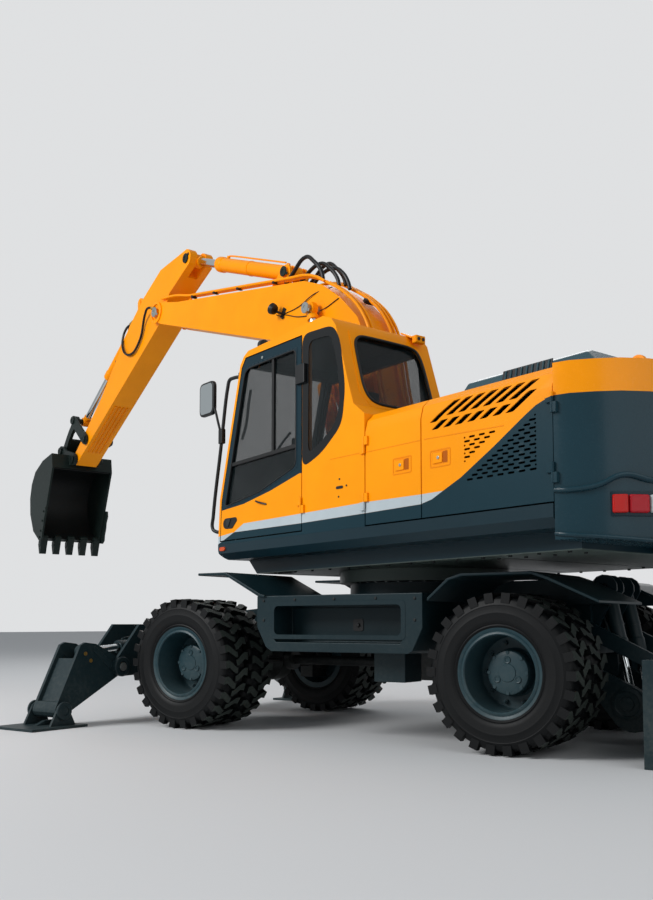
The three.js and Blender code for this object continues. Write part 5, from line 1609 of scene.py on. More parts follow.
        cables = [
            hose("cable", [(2.5, 0.203, 0.8), (2.3, 0.206, 0.93), (2.1, 0.206, 1.12), (1.95, 0.15, 1.235)], 0.005),
            hose("cable", [(2.5, 0.203, 0.79), (2.2, 0.206, 0.86), (1.9, 0.206, 1.02), (1.72, 0.206, 1.18)], 0.005),
        ]
        self.shop.fit(joined("cables", cables), "boom_lamp_cables", "boom_body", "hose_rubber", BOOM)
        down = [
            (0.02, 0.215, 0.09), (0.1, 0.232, 0.17), (0.22, 0.212, 0.19), (0.34, 0.188, 0.165), (0.46, 0.18, 0.085),
            (0.6, 0.18, 0.04), (0.76, 0.182, 0.046), (0.9, 0.184, 0.155), (0.945, 0.182, 0.3),
            (0.9, 0.172, 0.43), (0.8, 0.15, 0.515), (0.68, 0.13, 0.5), (0.62, 0.125, 0.49),
        ]
        self.shop.fit(hose("down", down, 0.015), "arm_side_hose", "arm_body", "hose_rubber", ARM)
        ferrules = [
            bar("ferrule", a, b, 0.019, 20, 0.003)
            for a, b in (((0.0, 0.2, 0.075), (0.045, 0.222, 0.115)), ((0.7, 0.134, 0.505), (0.62, 0.126, 0.49)))
        ]
        self.shop.fit(joined("ferrules", ferrules), "arm_hose_ends", "arm_body", "brass", ARM)
        lines = [
            hose("line", [(0.12, y, 0.505), (0.7, y, 0.478), (1.28, y, 0.352), (1.7, y, 0.256)], 0.011)
            for y in (-0.125, -0.09, 0.09, 0.125)
        ]
        self.shop.fit(joined("lines", lines), "arm_pipes", "arm_body", "darker_orange_and_painted_shade", ARM)
        clamp = rounded(block("clamp", (-0.018, -0.036, -0.012), (0.018, 0.036, 0.022)), 0.003, 1)
        spots = [
            at(x, y, z) @ spun(12.5, "Y")
            for x, z in ((0.75, 0.468), (1.25, 0.356), (1.66, 0.265))
            for y in (-0.108, 0.108)
        ]
        self.shop.fit(repeated("clamps", clamp, spots), "arm_clamps", "arm_body", "black_plastic", ARM)
        rear = [
            prism("rear", rounded_box(1.62, 2.62, y - 0.014, y + 0.014, 0.013), -0.01, 0.004, Plane.PLAN)
            for y in (-0.085, -0.028, 0.028, 0.085)
        ]
        bands = joined("bands", rear)
        bands.data.transform(at(2.12, 0, -0.088) @ spun(-0.84, "Y") @ at(-2.12, 0, 0))
        self.shop.fit(rounded(bands, 0.003, 2), "arm_rear_ribs", "arm_body", "darker_orange_and_painted_shade", ARM)

    def lamp(self) -> None:
        """Fit the work lamp on the boom's left side."""
        housing = turned(
            "housing",
            [
                (0.0, 0.0), (0.03, 0.0), (0.048, 0.012), (0.056, 0.035), (0.058, 0.055), (0.052, 0.058),
                (0.05, 0.05), (0.0, 0.05),
            ],
            36,
        )
        housing.data.transform(at(2.57, 0.275, 0.8) @ spun(-75, "Z"))
        bracket = prism("bracket", [(2.48, 0.2), (2.54, 0.2), (2.55, 0.27), (2.52, 0.275)], 0.76, 0.765, Plane.PLAN)
        stalk = bar("stalk", (2.51, 0.2, 0.79), (2.53, 0.28, 0.795), 0.012, 16)
        yoke = rounded(block("yoke", (2.5, 0.2, 0.74), (2.56, 0.206, 0.85)), 0.002, 1)
        self.shop.fit(
            joined("lamp", [housing, bracket, stalk, yoke]), "boom_lamp", "boom_body", "black_plastic", BOOM
        )
        lens = turned("lens", [(0.0, 0.047), (0.05, 0.047), (0.05, 0.052), (0.03, 0.056), (0.0, 0.057)], 36)
        lens.data.transform(at(2.57, 0.275, 0.8) @ spun(-75, "Z"))
        self.shop.fit(lens, "boom_lamp_lens", "boom_body", "clear_lens", BOOM)

    def bucket_fittings(self) -> None:
        """Fit the side cutters, tooth adapters, wear strips and bolts of the bucket."""
        for word, sign in SIDES:
            cutter = prism(
                "cutter",
                [
                    (0.345, -0.66), (0.465, -0.98), (0.52, -1.13), (0.43, -1.14), (0.375, -1.1), (0.365, -1.02),
                    (0.325, -0.92), (0.315, -0.84), (0.265, -0.75), (0.275, -0.67),
                ],
                0.456, 0.482,
            )
            bolt = bar("bolt", (0, 0.482, 0), (0, 0.494, 0), 0.016, 6, 0.003)
            bolts = repeated(
                "bolts", bolt,
                [at(x, 0, z) for x, z in ((0.33, -0.73), (0.375, -0.86), (0.43, -1.0), (0.465, -1.09))],
            )
            fitting = joined("cutter", [rounded(cutter, 0.004, 2), bolts])
            self.shop.fit(fitting, f"{word}_side_cutter", "bucket_body", "cast_steel", on_side(BUCKET, sign))
        adapter = prism(
            "adapter", [(0.46, -1.07), (0.49, -1.04), (0.56, -1.1), (0.6, -1.19), (0.575, -1.225), (0.51, -1.205)],
            -0.052, 0.052,
        )
        adapters = repeated("adapters", rounded(adapter, 0.008, 2), [at(0, 0.2 * i, 0) for i in range(-2, 3)])
        self.shop.fit(adapters, "tooth_adapters", "bucket_body", "cast_steel", BUCKET)
        strips = []
        back = [
            (0.49, 0.021), (0.765, -0.108), (0.897, -0.28), (0.952, -0.48), (0.932, -0.722), (0.797, -0.985),
            (0.6, -1.105),
        ]
        outer = [(x + 0.014 * (1 if z > -0.7 else 0.8), z + (0.01 if z > -0.4 else -0.004)) for x, z in back]
        for y in (-0.3, -0.1, 0.1, 0.3):
            strips.append(prism("strip", back + outer[::-1], y - 0.035, y + 0.035))
        self.shop.fit(joined("strips", strips), "bucket_wear_strips", "bucket_body", "worn_steel", BUCKET)
        lining = prism(
            "lining",
            [
                (0.12, -0.125), (0.25, -0.047), (0.47, -0.027), (0.73, -0.14), (0.855, -0.303), (0.908, -0.485),
                (0.89, -0.71), (0.765, -0.95), (0.545, -1.09), (0.545, -1.083), (0.758, -0.944), (0.882, -0.707),
                (0.9, -0.485), (0.848, -0.307), (0.725, -0.147), (0.468, -0.034), (0.25, -0.054), (0.125, -0.132),
            ],
            -0.425, 0.425,
        )
        self.shop.fit(lining, "bucket_lining", "bucket_body", "bucket_inside", BUCKET)


@dataclass
class UpperStructure:
    """Platform, counterweight, engine housing, hood, side doors and tanks."""

    shop: Workshop
    grille_front: float = -1.4
    grille_foot: float = 2.097
    grille_top: float = 2.262
    slot_lean: float = 1.8
    slot_width: float = 0.064
    slot_pitch: float = 0.1045
    hole_pitch: float = 0.083

    def build(self) -> None:
        """Make every piece of the upper but the cab."""
        self.shop.refine("platform", "platform_paint", 0.012)
        self.shop.refine("counterweight", "tail_paint", 0.055, 5)
        self.shop.refine("engine_housing", "slate_gloss", 0.006)
        self.shop.refine("engine", "dark_steel", 0.02)
        self.shop.refine("hood", "hood_paint", 0.03, 4)
        self.shop.refine("left_front_door", "side_paint", 0.006)
        self.shop.refine("right_tank", "side_paint", 0.012)
        self.shop.refine("left_rear_door", "side_paint", 0.004, 2, self.grille_cutters(1))
        self.shop.refine("right_rear_door", "side_paint", 0.004, 2, self.grille_cutters(-1))
        self.side_fittings()
        self.hood_fittings()
        self.tail_fittings()
        self.belly()
        self.right_side()

    def grille_cutters(self, sign: int) -> list[Piece]:
        """The solids that thin a rear door behind its grille, then cut its slanted and staggered slots.

        Args:
            sign: 1 for the left door and -1 for the right.

        Returns:
            The solids, in the order they are used.
        """
        slots = []
        y0, y1 = (1.1, 1.3) if sign > 0 else (-1.3, -1.1)
        pitch, front, low, high = self.slot_pitch, self.grille_front, self.grille_foot, self.grille_top

        def slot(x: float, foot: float, top: float) -> None:
            """Add one slanted slot.

            Args:
                x: Where its line passes the grille's lower edge.
                foot: Its lower end.
                top: Its upper end.
            """
            a, b = x - self.slot_lean * (foot - low), x - self.slot_lean * (top - low)
            wide = self.slot_width
            outline = soft([(a, foot), (a - wide, foot), (b - wide, top), (b, top)], 0.01, 2)
            slots.append(prism("slot", outline, y0, y1))

        def hole(x: float, z: float, half: float) -> None:
            """Add one small round-ended slot."""
            slots.append(prism("slot", pill(x, z, half, 0.007, 0, 2), y0, y1))

        slot(front + pitch, 2.146, high)
        for i in range(6):
            slot(front - i * pitch, low, 2.149)
            slot(front - i * pitch, 2.171, high)
        slot(front - 6 * pitch, low, 2.2)
        for row in range(7):
            z = 2.003 - row * 0.0245
            shift = 0.5 if row % 2 == 0 else 0.0
            for i in range(4):
                x = -1.7165 - (i + shift) * self.hole_pitch
                if x > -1.712 - (z - 1.857) / 0.61:
                    hole(x, z, 0.0205)
            if shift:
                hole(-1.6965, z, 0.002)
        for row in range(14):
            z = 1.738 + row * 0.024
            shift = 0.5 if row % 2 else 0.0
            for i in range(8):
                x = -2.2355 + (i + shift) * self.hole_pitch
                if x < -1.716 - max(0.0, z - 1.769) / 0.546:
                    hole(x, z, 0.0205)
            if shift:
                hole(-2.2555, z, 0.002)
        hollow = [(1.19, 1.715), (1.2425, 1.715), (1.2425, 2.184), (1.2215, 2.266), (1.19, 2.266)]
        pocket = prism("pocket", [(sign * y, z) for y, z in hollow], -2.3, -1.33, Plane.CROSS)
        cutters = [pocket, joined("slots", slots)]
        for cutter in cutters:
            cutter.data.transform(UPPER)
        return cutters

    def side_fittings(self) -> None:
        """Fit the latches, creases and side lamp of the side panels; the latch rims, pans and pits and the creases
        are painted darker, as painted shade.
        """
        for word, sign in SIDES:
            place = on_side(UPPER, sign)
            panels = (
                ("front", -1.12, "front_side_door" if sign > 0 else "upper"),
                ("rear", -1.481, "rear_side_door" if sign > 0 else "pump_door"),
            )
            for end, x, body in panels:
                # The latch rim and pan are painted a darker orange: painted shade in the recess.
                rim = ring(
                    "rim", rounded_box(x - 0.093, x + 0.093, 1.849, 1.965, 0.012),
                    rounded_box(x - 0.084, x + 0.084, 1.858, 1.956, 0.01), 1.249, 1.2525,
                )
                self.shop.fit(rounded(rim, 0.001, 1), f"{word}_{end}_latch_rim", body, "darker_orange_and_painted_shade", place)
                pan = prism("pan", rounded_box(x - 0.07, x + 0.07, 1.868, 1.952, 0.008), 1.2492, 1.2508)
                self.shop.fit(pan, f"{word}_{end}_latch_pan", body, "darker_orange_and_painted_shade", place)
                # The pit is painted a much darker orange: painted shade deep in the latch recess.
                pit = prism("pit", rounded_box(x - 0.066, x - 0.024, 1.873, 1.947, 0.006), 1.2496, 1.2512)
                self.shop.fit(pit, f"{word}_{end}_latch_pit", body, "orange_painted_shade", place)
                lever = rounded(
                    prism("lever", rounded_box(x - 0.022, x + 0.062, 1.876, 1.944, 0.008), 1.2505, 1.2575), 0.003, 2
                )
                self.shop.fit(lever, f"{word}_{end}_latch_lever", body, "orange_paint", place)
                button = bar("button", (x + 0.012, 1.257, 1.91), (x + 0.012, 1.262, 1.91), 0.011, 24, 0.002)
                self.shop.fit(button, f"{word}_{end}_latch_button", body, "zinc", place)
            # The creases are painted a darker orange: painted shade along each fold.
            creases = (
                (-0.735, -1.3, 2.052, 2.052, "front_side_door" if sign > 0 else "upper"),
                (-1.315, -2.02, 2.052, 2.03, "rear_side_door" if sign > 0 else "pump_door"),
            )
            for number, (xa, xb, za, zb, body) in enumerate(creases):
                crease = prism(
                    "crease", [(xa - 0.02, za), (xb, zb), (xb + 0.004, zb - 0.007), (xa - 0.02, za - 0.007)], 1.249,
                    1.2516,
                )
                self.shop.fit(
                    rounded(crease, 0.001, 1), f"{word}_crease_{number + 1}", body, "darker_orange_and_painted_shade", place
                )
            lamp = rounded(prism("lamp", pill(1.15, 1.487, 0.026, 0.017), 1.236, 1.262), 0.006, 3)
            self.shop.fit(lamp, f"{word}_skirt_lamp", "upper", "side_lens", place)

    def hood_fittings(self) -> None:
        """Fit the louvres, latches and vents of the hood, with a black plate behind the louvres as painted shade in
        the vent slots.
        """
        fins, floor = [], []
        for sign in (1, -1):
            # A black plate behind the louvres: painted shade for the dark vent slots.
            pocket = [(-1.44, 2.375), (-1.86, 2.375), (-1.9, 2.565), (-1.48, 2.565)]
            floor.append(prism("pocket", pocket, sign * 0.64 - 0.004, sign * 0.64 + 0.004))
            for i in range(9):
                x = -1.47 - i * 0.046
                fin = prism(
                    "fin", [(x, 2.385), (x - 0.016, 2.385), (x - 0.046, 2.56), (x - 0.03, 2.56)],
                    sign * 0.64 - 0.012, sign * 0.64 + 0.012,
                )
                fins.append(rounded(fin, 0.003, 1))
        self.shop.fit(joined("pockets", floor), "hood_vent_shade_plates", "hood_lid", "black_plastic", UPPER)
        self.shop.fit(joined("fins", fins), "hood_louvres", "hood_lid", "hood_paint", UPPER)
        latches = []
        for sign in (1, -1):
            for x in (-1.27, -2.05):
                plate = rounded(
                    prism(
                        "plate", rounded_box(x - 0.035, x + 0.035, 2.345, 2.425, 0.012), sign * 0.64 - 0.006,
                        sign * 0.64 + 0.01,
                    ),
                    0.004, 2,
                )
                hook = hose(
                    "hook", [(x, sign * 0.65, 2.37), (x, sign * 0.672, 2.4), (x + 0.006, sign * 0.655, 2.44)], 0.008
                )
                latches += [plate, hook]
        self.shop.fit(joined("latches", latches), "hood_latches", "hood_lid", "black_plastic", UPPER)
        dome = turned(
            "dome",
            [(0.0, 0.0), (0.17, 0.0), (0.18, 0.012), (0.168, 0.045), (0.13, 0.072), (0.07, 0.085), (0.0, 0.088)], 48,
        )
        dome.data.transform(at(-0.9, 0.62, 2.322) @ spun(90, "X"))
        self.shop.fit(dome, "air_inlet_dome", "upper", "black_plastic", UPPER)
        pipe = hose(
            "stack",
            [
                (-1.95, -0.86, 2.32), (-1.95, -0.86, 2.5), (-1.955, -0.86, 2.6), (-2.01, -0.86, 2.66),
                (-2.06, -0.86, 2.67),
            ],
            0.045, 6,
        )
        self.shop.fit(pipe, "exhaust_stack", "upper", "dark_steel", UPPER)

    def tail_fittings(self) -> None:
        """Fit the ledge, tail lamps and lifting eyes of the counterweight."""
        plan = [
            (-2.386, 1.25), (-2.48, 1.222), (-2.59, 1.14), (-2.69, 1.04), (-2.775, 0.9), (-2.825, 0.7),
            (-2.85, 0.35),
        ]
        for word, sign in SIDES:
            place = on_side(UPPER, sign)
            heights = [1.6, 1.594, 1.612, 1.668, 1.64, 1.632, 1.63]
            path = [(x - 0.003, y + 0.002, z) for (x, y), z in zip(plan, heights)]
            self.shop.fit(hose("ledge", path, 0.016), f"{word}_tail_ledge", "upper", "tail_paint", place)
            low = [(x - 0.002, y + 0.002, 1.356 - 0.012 * i) for i, (x, y) in enumerate(plan)]
            self.shop.fit(hose("lip", low, 0.012), f"{word}_tail_lip", "upper", "tail_paint", place)
            run = [Vector(p) for p in ((-2.64, 1.09), (-2.69, 1.04), (-2.775, 0.9), (-2.812, 0.752))]
            out = [Vector((-0.71, 0.71)), Vector((-0.78, 0.62)), Vector((-0.91, 0.41)), Vector((-0.97, 0.24))]

            def band(first: float, last: float, lift: float, low_z: float, high_z: float) -> Piece:
                """Model a strip of lamp along the corner.

                Args:
                    first: The station where it starts.
                    last: The station where it ends.
                    lift: How far it stands off the tail.
                    low_z: Its lower edge.
                    high_z: Its upper edge.

                Returns:
                    The strip.
                """
                stations = [first + (last - first) * i / 8 for i in range(9)]
                inner, outer = [], []
                for station in stations:
                    i = min(int(station), 2)
                    f = station - i
                    spot, face = run[i].lerp(run[i + 1], f), out[i].lerp(out[i + 1], f).normalized()
                    inner.append(tuple(spot - face * 0.02))
                    outer.append(tuple(spot + face * lift))
                return prism("band", inner + outer[::-1], low_z, high_z, Plane.PLAN)

            pocket = rounded(band(0.0, 3.0, 0.007, 1.44, 1.578), 0.004, 2)
            self.shop.fit(pocket, f"{word}_tail_lamp_pocket", "upper", "slate_gloss", place)
            for finish, first, last in (
                ("amber_lens", 0.1, 1.12), ("red_lens", 1.15, 1.85), ("clear_lens", 1.88, 2.85)
            ):
                lens = rounded(band(first, last, 0.026, 1.458, 1.56), 0.022 if first < 0.2 else 0.014, 4)
                self.shop.fit(lens, f"{word}_tail_{finish}", "upper", finish, place)
            eye = prism(
                "eye", arc(-2.62, 2.345, 0.055, -20, 200, 10) + [(-2.7, 2.315), (-2.54, 2.315)], 0.755, 0.785
            )
            hole = bar("hole", (-2.62, 0.7, 2.355), (-2.62, 0.85, 2.355), 0.024, 24)
            self.shop.fit(rounded(cut(eye, hole), 0.005, 2), f"{word}_lifting_eye", "upper", "orange_paint", place)

    def belly(self) -> None:
        """Fit the bolts of the belly plates."""
        bolt = bar("bolt", (0, 0, 0), (0, 0, -0.012), 0.013, 6, 0.002)
        spots = [at(-2.25 + 0.23 * i, sign * 0.95, 1.282) for i in range(14) for sign in (1, -1)]
        spots += [at(-2.25 + 0.23 * i, sign * 0.8, 1.282) for i in range(4) for sign in (1, -1)]
        self.shop.fit(repeated("bolts", bolt, spots), "belly_bolts", "upper", "black_plastic", UPPER)
        seams = [block("seam", (x, -0.98, 1.2785), (x + 0.008, 0.98, 1.2815)) for x in (-1.6, -0.8, 0.85)]
        self.shop.fit(joined("seams", seams), "belly_seams", "upper", "black_plastic", UPPER)

    def right_side(self) -> None:
        """Fit the handrails, filler caps and step pads of the right-hand side."""
        rails = [
            hose(
                "rail",
                [
                    (1.1, -1.2, 1.78), (1.1, -1.2, 2.3), (1.06, -1.2, 2.42), (0.9, -1.2, 2.52),
                    (0.42, -1.2, 2.62), (0.3, -1.2, 2.58), (0.28, -1.2, 2.33),
                ],
                0.017,
            ),
            hose("rail", [(0.7, -1.2, 2.1), (0.7, -1.2, 2.56)], 0.014),
            hose(
                "rail",
                [
                    (0.28, -1.2, 2.33), (0.28, -1.2, 2.6), (0.2, -1.2, 2.66), (-0.55, -1.2, 2.66),
                    (-0.66, -1.2, 2.6), (-0.66, -1.2, 2.33),
                ],
                0.017,
            ),
        ]
        self.shop.fit(joined("rails", rails), "right_handrails", "upper", "darker_orange_and_painted_shade", UPPER)
        caps = []
        for x, y in ((0.12, -0.95), (-0.3, -0.8)):
            cap = turned(
                "cap",
                [(0.0, 0.0), (0.075, 0.0), (0.08, 0.005), (0.08, 0.03), (0.072, 0.038), (0.05, 0.04), (0.0, 0.04)],
                36,
            )
            cap.data.transform(at(x, y, 2.322) @ spun(90, "X"))
            caps.append(cap)
        self.shop.fit(joined("caps", caps), "filler_caps", "upper", "black_plastic", UPPER)
        pads = [
            rounded(block("pad", (x0, -1.22, z), (x1, -0.6, z + 0.006)), 0.002, 1)
            for x0, x1, z in ((0.78, 1.02, 1.864), (0.46, 0.72, 2.094))
        ]
        self.shop.fit(joined("pads", pads), "right_step_pads", "upper", "black_rubber", UPPER)


@dataclass
class Cab:
    """Cab shell, door, windows, interior, seat and mirror."""

    shop: Workshop
    middle: Point = (0.25, 0.79, 2.3)
    rear_glass: Flat = (-0.56, 2.56)
    rear_slope: float = 0.323
    lamp_x: float = 0.7
    lamp_z: float = 3.175
    lamp_rows: Flat = (0.45, 1.12)
    pod_rows: Flat = (0.5, 1.1)
    wheel_hub: Point = (0.745, 0.78, 2.235)

    def build(self) -> None:
        """Make every piece of the cab."""
        self.lined(self.shop.refine("cab_shell", "side_paint", 0.016, 3))
        self.lined(self.shop.refine("cab_door", "cab_door_paint", 0.006))
        self.shop.refine("cab_interior", "trim_plastic", 0.012)
        self.shop.refine("windshield", "clear_glass", 0.0)
        self.shop.refine("door_window", "smoked_glass", 0.0)
        self.shop.refine("rear_window", "smoked_glass", 0.0)
        self.shop.refine("right_window", "clear_glass", 0.0)
        self.windows()
        self.door_fittings()
        self.roof()
        self.interior()
        self.seat()
        self.mirror()

    def lined(self, piece: Piece) -> None:
        """Give the faces that look into the cab the dark trim, and leave the others painted.

        Args:
            piece: The cab's shell or door.
        """
        middle = UPPER @ Vector(self.middle)
        piece.data.materials.append(self.shop.finishes["trim_plastic"])
        for face in piece.data.polygons:
            if face.normal.dot(middle - face.center) > 0.25:
                face.material_index = 1

    def windows(self) -> None:
        """Fit the quarter pane, the black seals round each pane, and a dark film over the lower door pane as painted
        shade.
        """
        quarter = [
            (-0.05, 2.085), (-0.38, 2.235), (-0.48, 2.39), (-0.47, 2.74), (-0.37, 2.99), (-0.33, 3.03),
            (-0.05, 3.04),
        ]
        self.shop.fit(prism("pane", quarter, 1.236, 1.246), "quarter_window", "upper", "smoked_glass", UPPER)
        border = [
            (0.008, 2.033), (0.008, 3.072), (-0.375, 3.052), (-0.458, 2.925), (-0.518, 2.56), (-0.478, 2.29),
            (-0.232, 2.115),
        ]
        border = ring("border", soft(border, 0.09), soft(grown(quarter, -0.045), 0.08), 1.2485, 1.2515)
        self.shop.fit(rounded(border, 0.001, 1), "quarter_window_border", "upper", "glass_border", UPPER)
        door = [
            (0.08, 2.05), (0.6, 1.905), (1.128, 1.835), (1.108, 1.9), (0.828, 2.94), (0.79, 2.985),
            (0.08, 2.985),
        ]
        inside = soft(
            [
                (0.09, 2.062), (0.6, 1.915), (1.116, 1.846), (1.098, 1.9), (0.824, 2.925), (0.78, 2.968),
                (0.09, 2.975),
            ],
            0.055,
        )
        surround = ring("surround", grown(door, 0.008), inside, 1.248, 1.252)
        self.shop.fit(rounded(surround, 0.001, 1), "door_window_surround", "cab_door_leaf", "slate_gloss", UPPER)
        loop = [(x, 1.2515, z) for x, z in inside]
        self.shop.fit(
            hose("seal", [*loop, loop[0]], 0.006), "door_window_seal", "cab_door_leaf", "black_rubber", UPPER
        )
        # Painted shade: a dark film inside the lower door pane makes it darker.
        film = prism(
            "film", [(0.09, 2.075), (0.6, 1.925), (1.112, 1.858), (1.03, 2.19), (0.09, 2.215)], 1.214, 1.216
        )
        self.shop.fit(film, "door_lower_painted_shade", "cab_door_leaf", "dark_glass", UPPER)
        rear = [(0.43, 2.44), (1.06, 2.44), (1.13, 2.54), (1.11, 3.0), (0.48, 3.0), (0.43, 2.9)]
        x, height = self.rear_glass
        lean = at(x, 0, height) @ Matrix.Rotation(math.atan(self.rear_slope), 4, "Y")
        flat = [(y, (z - height) * math.hypot(1, self.rear_slope)) for y, z in rear]
        opening = soft(grown(flat, -0.01), 0.12, 6)
        frame_ring = ring("frame", grown(flat, 0.035), opening, -0.006, 0.01, Plane.CROSS)
        self.shop.fit(rounded(frame_ring, 0.002, 1), "rear_window_surround", "upper", "orange_paint", UPPER @ lean)
        loop = [(-0.007, y, z) for y, z in opening]
        self.shop.fit(
            hose("seal", [*loop, loop[0]], 0.011), "rear_window_seal", "upper", "black_rubber", UPPER @ lean
        )

    def door_fittings(self) -> None:
        """Fit the glass dividers, handle, lock and grab recess of the door."""
        upright = block("upright", (0.395, 1.226, 2.225), (0.425, 1.2505, 2.985))
        cross = prism("cross", [(0.082, 2.205), (1.045, 2.178), (1.038, 2.208), (0.082, 2.238)], 1.226, 1.2505)
        self.shop.fit(
            rounded(joined("dividers", [upright, cross]), 0.003, 2), "door_glass_dividers", "cab_door_leaf",
            "black_rubber", UPPER,
        )
        recess = prism(
            "recess", [*arc(1.1, 1.7, 0.045, -80, 90, 6), *arc(0.955, 1.716, 0.028, 90, 190, 5), (1.0, 1.652)],
            1.2502, 1.2535,
        )
        self.shop.fit(rounded(recess, 0.0012, 1), "grab_recess", "cab_door_leaf", "black_plastic", UPPER)
        grip = rounded(
            prism("grip", [(1.02, 1.735), (1.09, 1.733), (1.085, 1.675), (1.055, 1.672)], 1.253, 1.26), 0.003, 2
        )
        self.shop.fit(grip, "grab_recess_grip", "cab_door_leaf", "trim_plastic", UPPER)
        handle = hose(
            "handle", [(0.645, 1.252, 1.847), (0.6, 1.266, 1.835), (0.54, 1.266, 1.82), (0.49, 1.252, 1.806)], 0.007
        )
        self.shop.fit(handle, "door_handle", "cab_door_leaf", "black_plastic", UPPER)
        hinge = [rounded(block("hinge", (-0.048, 1.25, 2.685), (0.066, 1.2785, 2.835)), 0.006, 2)]
        self.shop.fit(joined("hinges", hinge), "door_hinge_covers", "upper", "black_plastic", UPPER)
        lock = [
            prism("lock", pill(-0.45, 1.835, 0.03, 0.01), 1.2495, 1.2535),
            *[
                bar("dot", (x, 1.2495, z), (x, 1.2535, z), 0.007, 16)
                for x, z in ((-0.45, 1.895), (-0.44, 1.768), (-0.53, 1.84))
            ],
        ]
        self.shop.fit(joined("lock", lock), "cab_side_lock", "upper", "black_plastic", UPPER)
        # The crease is painted a darker orange: painted shade along the fold.
        crease = prism("crease", [(-0.34, 2.056), (-0.725, 2.056), (-0.725, 2.049), (-0.34, 2.051)], 1.249, 1.2516)
        self.shop.fit(crease, "cab_crease", "upper", "darker_orange_and_painted_shade", UPPER)
        bolt = bar("bolt", (0.56, 1.2495, 3.015), (0.56, 1.255, 3.015), 0.012, 24, 0.002)
        self.shop.fit(bolt, "door_frame_bolt", "cab_door_leaf", "zinc", UPPER)
        inner = hose(
            "inner", [(0.93, 1.205, 2.4), (0.9, 1.185, 2.52), (0.86, 1.185, 2.7), (0.8, 1.205, 2.8)], 0.012
        )
        self.shop.fit(inner, "door_inner_grab", "cab_door_leaf", "black_plastic", UPPER)

    def roof(self) -> None:
        """Fit the roof lamps, knobs and wiper."""
        lamps = []
        for y in self.lamp_rows:
            body = turned("body", [(0.0, 0.0), (0.03, 0.0), (0.05, 0.015), (0.054, 0.05), (0.0, 0.05)], 32)
            body.data.transform(at(self.lamp_x, y, self.lamp_z) @ spun(-90, "Z"))
            lamps += [body, bar("stem", (0.72, y, 3.11), (0.72, y, 3.15), 0.01, 12)]
        self.shop.fit(joined("lamps", lamps), "roof_lamps", "upper", "black_plastic", UPPER)
        lenses = []
        for y in self.lamp_rows:
            lens = turned("lens", [(0.0, 0.05), (0.05, 0.05), (0.046, 0.056), (0.0, 0.06)], 32)
            lens.data.transform(at(self.lamp_x, y, self.lamp_z) @ spun(-90, "Z"))
            lenses.append(lens)
        self.shop.fit(joined("lenses", lenses), "roof_lamp_lenses", "upper", "clear_lens", UPPER)
        bracket = prism(
            "bracket",
            [(-0.28, 3.145), (-0.4, 3.085), (-0.47, 3.085), (-0.47, 3.095), (-0.4, 3.1), (-0.28, 3.158)], 0.42,
            0.5,
        )
        box = rounded(block("box", (-0.475, 0.41, 3.035), (-0.425, 0.51, 3.095)), 0.005, 2)
        self.shop.fit(
            rounded(joined("bracket", [bracket, box]), 0.004, 1), "rear_lamp_bracket", "upper", "orange_paint", UPPER
        )
        rims = [bar("rim", (-0.475, y, 3.065), (-0.481, y, 3.065), 0.014, 20, 0.002) for y in (0.437, 0.483)]
        self.shop.fit(joined("rims", rims), "rear_lamp_buttons", "upper", "black_plastic", UPPER)
        knobs = [
            bar("knob", (x, y, 3.118), (x, y, 3.145), 0.016, 20, 0.005)
            for x, y in ((0.6, 1.2), (0.3, 1.205), (-0.1, 1.2))
        ]
        self.shop.fit(joined("knobs", knobs), "roof_knobs", "upper", "black_plastic", UPPER)
        wiper = joined(
            "wiper",
            [
                hose("arm", [(1.205, 0.78, 1.72), (1.215, 0.7, 1.95), (1.135, 0.55, 2.2)], 0.009),
                hose("blade", [(1.195, 0.62, 2.02), (1.125, 0.53, 2.26), (1.05, 0.45, 2.52)], 0.011),
            ],
        )
        self.shop.fit(wiper, "windscreen_wiper", "upper", "black_plastic", UPPER)
        hatch = rounded(prism("hatch", rounded_box(0.1, 0.62, 0.52, 1.02, 0.06), 3.118, 3.142, Plane.PLAN), 0.01, 3)
        self.shop.fit(hatch, "roof_hatch", "upper", "dark_glass", UPPER)

    def interior(self) -> None:
        """Fit the steering wheel, joystick boxes, levers and monitor."""
        deselect()
        bpy.ops.mesh.primitive_torus_add(major_radius=0.19, minor_radius=0.014, major_segments=48, minor_segments=12)
        rim = named("rim")
        spokes = [
            bar("spoke", (0, 0, 0), (0.185 * math.cos(a), 0.185 * math.sin(a), 0), 0.012, 12)
            for a in (0.5, 2.6, 4.7)
        ]
        wheel = joined("wheel", [rim, *spokes, bar("boss", (0, 0, -0.03), (0, 0, 0.015), 0.045, 24, 0.006)])
        wheel.data.transform(at(*self.wheel_hub) @ spun(-25, "Y"))
        self.shop.fit(wheel, "steering_wheel", "upper", "black_plastic", UPPER)
        pods = []
        for y in self.pod_rows:
            pods.append(rounded(block("pod", (-0.05, y - 0.07, 2.02), (0.38, y + 0.07, 2.11)), 0.02, 3))
            pods.append(bar("stick", (0.3, y, 2.1), (0.31, y, 2.24), 0.012, 16))
            pods.append(
                rounded(prism("grip", rounded_box(0.285, 0.335, 2.2, 2.33, 0.02), y - 0.022, y + 0.022), 0.01, 3)
            )
        self.shop.fit(joined("pods", pods), "control_pods", "upper", "trim_plastic", UPPER)
        monitor = rounded(block("monitor", (0.86, 0.4, 2.02), (0.9, 0.58, 2.2)), 0.01, 3)
        stem = hose("stem", [(0.9, 0.49, 1.58), (0.94, 0.48, 1.85), (0.9, 0.49, 2.05)], 0.02)
        self.shop.fit(joined("monitor", [monitor, stem]), "monitor", "upper", "black_plastic", UPPER)
        wires = hose(
            "wires", [(0.72, 1.16, 2.06), (0.55, 1.17, 2.16), (0.4, 1.175, 2.28), (0.28, 1.17, 2.36)], 0.01
        )
        self.shop.fit(wires, "side_grab_rail", "upper", "black_plastic", UPPER)

